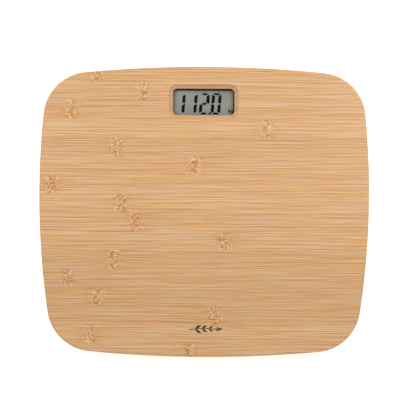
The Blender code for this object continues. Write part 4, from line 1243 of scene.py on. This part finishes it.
def wire_path(length, turn, step=1.2 * MM):
    """One wire of the twisted bundle, in even steps along the route."""
    route = lead_route(length)
    count = int((route[-1][0] - route[0][0]) / step)
    path = []
    piece = 0
    for i in range(count + 1):
        x = route[0][0] + (route[-1][0] - route[0][0]) * i / count
        while piece < len(route) - 2 and route[piece + 1][0] < x:
            piece += 1
        (x0, z0), (x1, z1) = route[piece], route[piece + 1]
        z = z0 + (z1 - z0) * (x - x0) / (x1 - x0)
        angle = turn + math.tau * x / WIRE_TWIST
        path.append((x, 0.4 * MM * math.cos(angle), z + 0.4 * MM * math.sin(angle)))
    return path


def cover_outline(length):
    width = GROOVE_WIDTH - 2 * GAP
    start, end = SKIRT_RADIUS + 0.8 * MM + width / 2, length - 13.5 * MM - width / 2
    return lambda inset: slot(start, end, width - 2 * inset)


def make_feet():
    seat = to_mesh(seat_shape(), "seat")
    shell = to_mesh(shell_shape(), "shell")
    pad = to_mesh(pad_shape(), "pad")
    screw = to_mesh(screw_shape(FOOT_SCREW), "screw")
    cell, tongue = (to_mesh(shape, "cell") for shape in cell_shapes())

    def put(name, mesh, matrix, *rest, **more):
        copy = mesh.copy()
        copy.transform(matrix)
        return add_piece(name, copy, *rest, **more)

    for name, middle, turn, length in foot_places():
        place = turned_about_z(turn, middle)
        foot = f"foot_{name}"
        put(f"cell_seat_{name}", seat, place, GREY, "grey_plastic", [f"load_cell_housing_{name}"])
        put(f"shell_{name}", shell, place, GREY, "grey_plastic", [f"foot_shell_{name}"], foot)
        put(f"pad_{name}", pad, place, RUBBER, "rubber", [f"foot_pad_{name}"], foot)
        put(f"cell_plate_{name}", cell, place, STEEL, "zinc_steel", [f"load_cell_{name}"])
        bent = put(f"cell_tongue_{name}", tongue, place, STEEL, "zinc_steel", body=None)
        root, tip = (place @ Vector((x, 0, CELL_LOW)) for x in (8 * MM, 0))
        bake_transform(bent)
        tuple(root)
        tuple(tip)
        cover_z = (UNDERSIDE, UNDERSIDE + COVER_THICKNESS)
        cover = to_mesh(soft_plate(cover_outline(length), cover_z, 0.25 * MM, 0, 3), "cover")
        put(f"groove_cover_{name}", cover, place, GREY, "grey_plastic", [f"wire_cover_{name}"])
        for i, (colour, material) in enumerate(WIRES.items()):
            wire = to_mesh(tube(wire_path(length, math.tau * i / 3), WIRE_RADIUS), "wire")
            stands_for = [f"cell_lead_{name}"] if i == 0 else []
            put(f"wire_{colour}_{name}", wire, place, material, "wire", stands_for)
        for side, sign in (("a", 1), ("b", -1)):
            spot = place @ Matrix.Translation((0, sign * EAR_DISTANCE, FLANGE[0] - GAP))
            spot = spot @ Matrix.Rotation(0.6 * sign + turn, 4, "Z")
            node = f"foot_screw_{name}_{side}"
            put(f"seat_screw_{name}_{side}", screw, spot, STEEL, "zinc_steel", [node])


def make_housing_screws():
    screw = to_mesh(screw_shape(HOUSING_SCREW), "screw")
    for i, (name, place) in enumerate(housing_screw_places()):
        copy = screw.copy()
        spot = Matrix.Translation((*place, COUNTERBORE_TOP - GAP)) @ Matrix.Rotation(0.5 + i, 4, "Z")
        copy.transform(spot)
        add_piece(f"cover_screw_{name}", copy, STEEL, "zinc_steel", [f"housing_screw_{name}"])


# CAD nodes that show as they are ------------
def dress_nodes():
    finishes = {
        "window_gasket": RUBBER,
        "lcd_frame": BLACK,
        "lcd_panel": BARE_GLASS,
        "lcd_connector": SILICONE,
        "main_board": BOARD_GREEN,
        "controller_chip": EPOXY,
        "capacitor": BLACK,
        "unit_switch": BLACK,
        "switch_plunger": GREY,
        "battery_contact": STEEL,
        "board_screw": STEEL,
        "strain_gauge": SILICONE,
    }
    for name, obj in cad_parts.items():
        for start, material in finishes.items():
            if name.startswith(start):
                for place in obj.material_slots:
                    place.material = material


# Stage ------------
CAMERA_HEIGHT = 1.2  # above the platform's top
CAMERA_AT = (3.5 * MM, 3.5 * MM)
CAMERA_ROLL = math.radians(0.23)
VIEW_WIDTH = 377.6 * MM  # what the frame spans at the platform's top
SENSOR_WIDTH = 36  # the lens is in the same unit, millimetres
LIGHT_TARGET = (0, 0.05, 0)
LIGHT_SIZE = 0.4
KEY_PLACE, KEY_POWER = (0.4, 0.3, 0.55), 1.95
FILL_PLACE, FILL_POWER = (-0.42, 0.3, 0.6), 1.65
SURROUND = 0.505  # strength of the even light from all around


def make_camera():
    camera = bpy.data.objects.new("camera", bpy.data.cameras.new("camera"))
    camera.data.sensor_width = SENSOR_WIDTH
    camera.data.lens = SENSOR_WIDTH * CAMERA_HEIGHT / VIEW_WIDTH
    camera.data.clip_start = 0.01
    camera.location = (*CAMERA_AT, TOP + CAMERA_HEIGHT)
    camera.rotation_euler = (0, 0, CAMERA_ROLL)
    bpy.context.scene.collection.objects.link(camera)
    bpy.context.scene.camera = camera


def area_light(name, place, power):
    light = bpy.data.lights.new(name, "AREA")
    light.shape = "RECTANGLE"
    light.size = light.size_y = LIGHT_SIZE
    light.energy = power
    obj = bpy.data.objects.new(name, light)
    obj.location = place
    obj.rotation_euler = (Vector(LIGHT_TARGET) - Vector(place)).to_track_quat("-Z", "Y").to_euler()
    bpy.context.scene.collection.objects.link(obj)


def make_stage():
    g = Graph("floor")
    cloud = g.noise(g.place, (3, 3, 3), detail=2.0)
    shade = g.ramp(cloud, [(0, (0.86, 0.86, 0.86)), (1, (0.9, 0.9, 0.9))])
    g.set(base_color=shade, roughness=0.7, emission_color=(1, 1, 1), emission_strength=0.6)
    shape = bmesh.new()
    bmesh.ops.create_grid(shape, x_segments=1, y_segments=1, size=3.0)
    mesh = to_mesh(shape, "floor")
    mesh.materials.append(g.material)
    floor = bpy.data.objects.new("floor", mesh)
    floor.location.z = -0.1 * MM
    bpy.context.scene.collection.objects.link(floor)
    floor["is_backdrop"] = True

    world = bpy.data.worlds.new("studio")
    world.use_nodes = True
    background = world.node_tree.nodes["Background"]
    background.inputs["Color"].default_value = (1, 1, 1, 1)
    background.inputs["Strength"].default_value = SURROUND
    bpy.context.scene.world = world
    bpy.context.scene.view_settings.view_transform = "Standard"
    area_light("key", KEY_PLACE, KEY_POWER)
    area_light("fill", FILL_PLACE, FILL_POWER)


def corners(bounds):
    return [list(corner) for corner in bounds]


make_camera()
make_stage()
make_platform()
make_mark()
make_lens()
make_film()
make_numerals()
make_housing()
make_door()
make_button()
make_battery()
make_feet()
make_housing_screws()
dress_nodes()

{"cad": corners(CAD_BOUNDS), "visual": corners(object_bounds())}
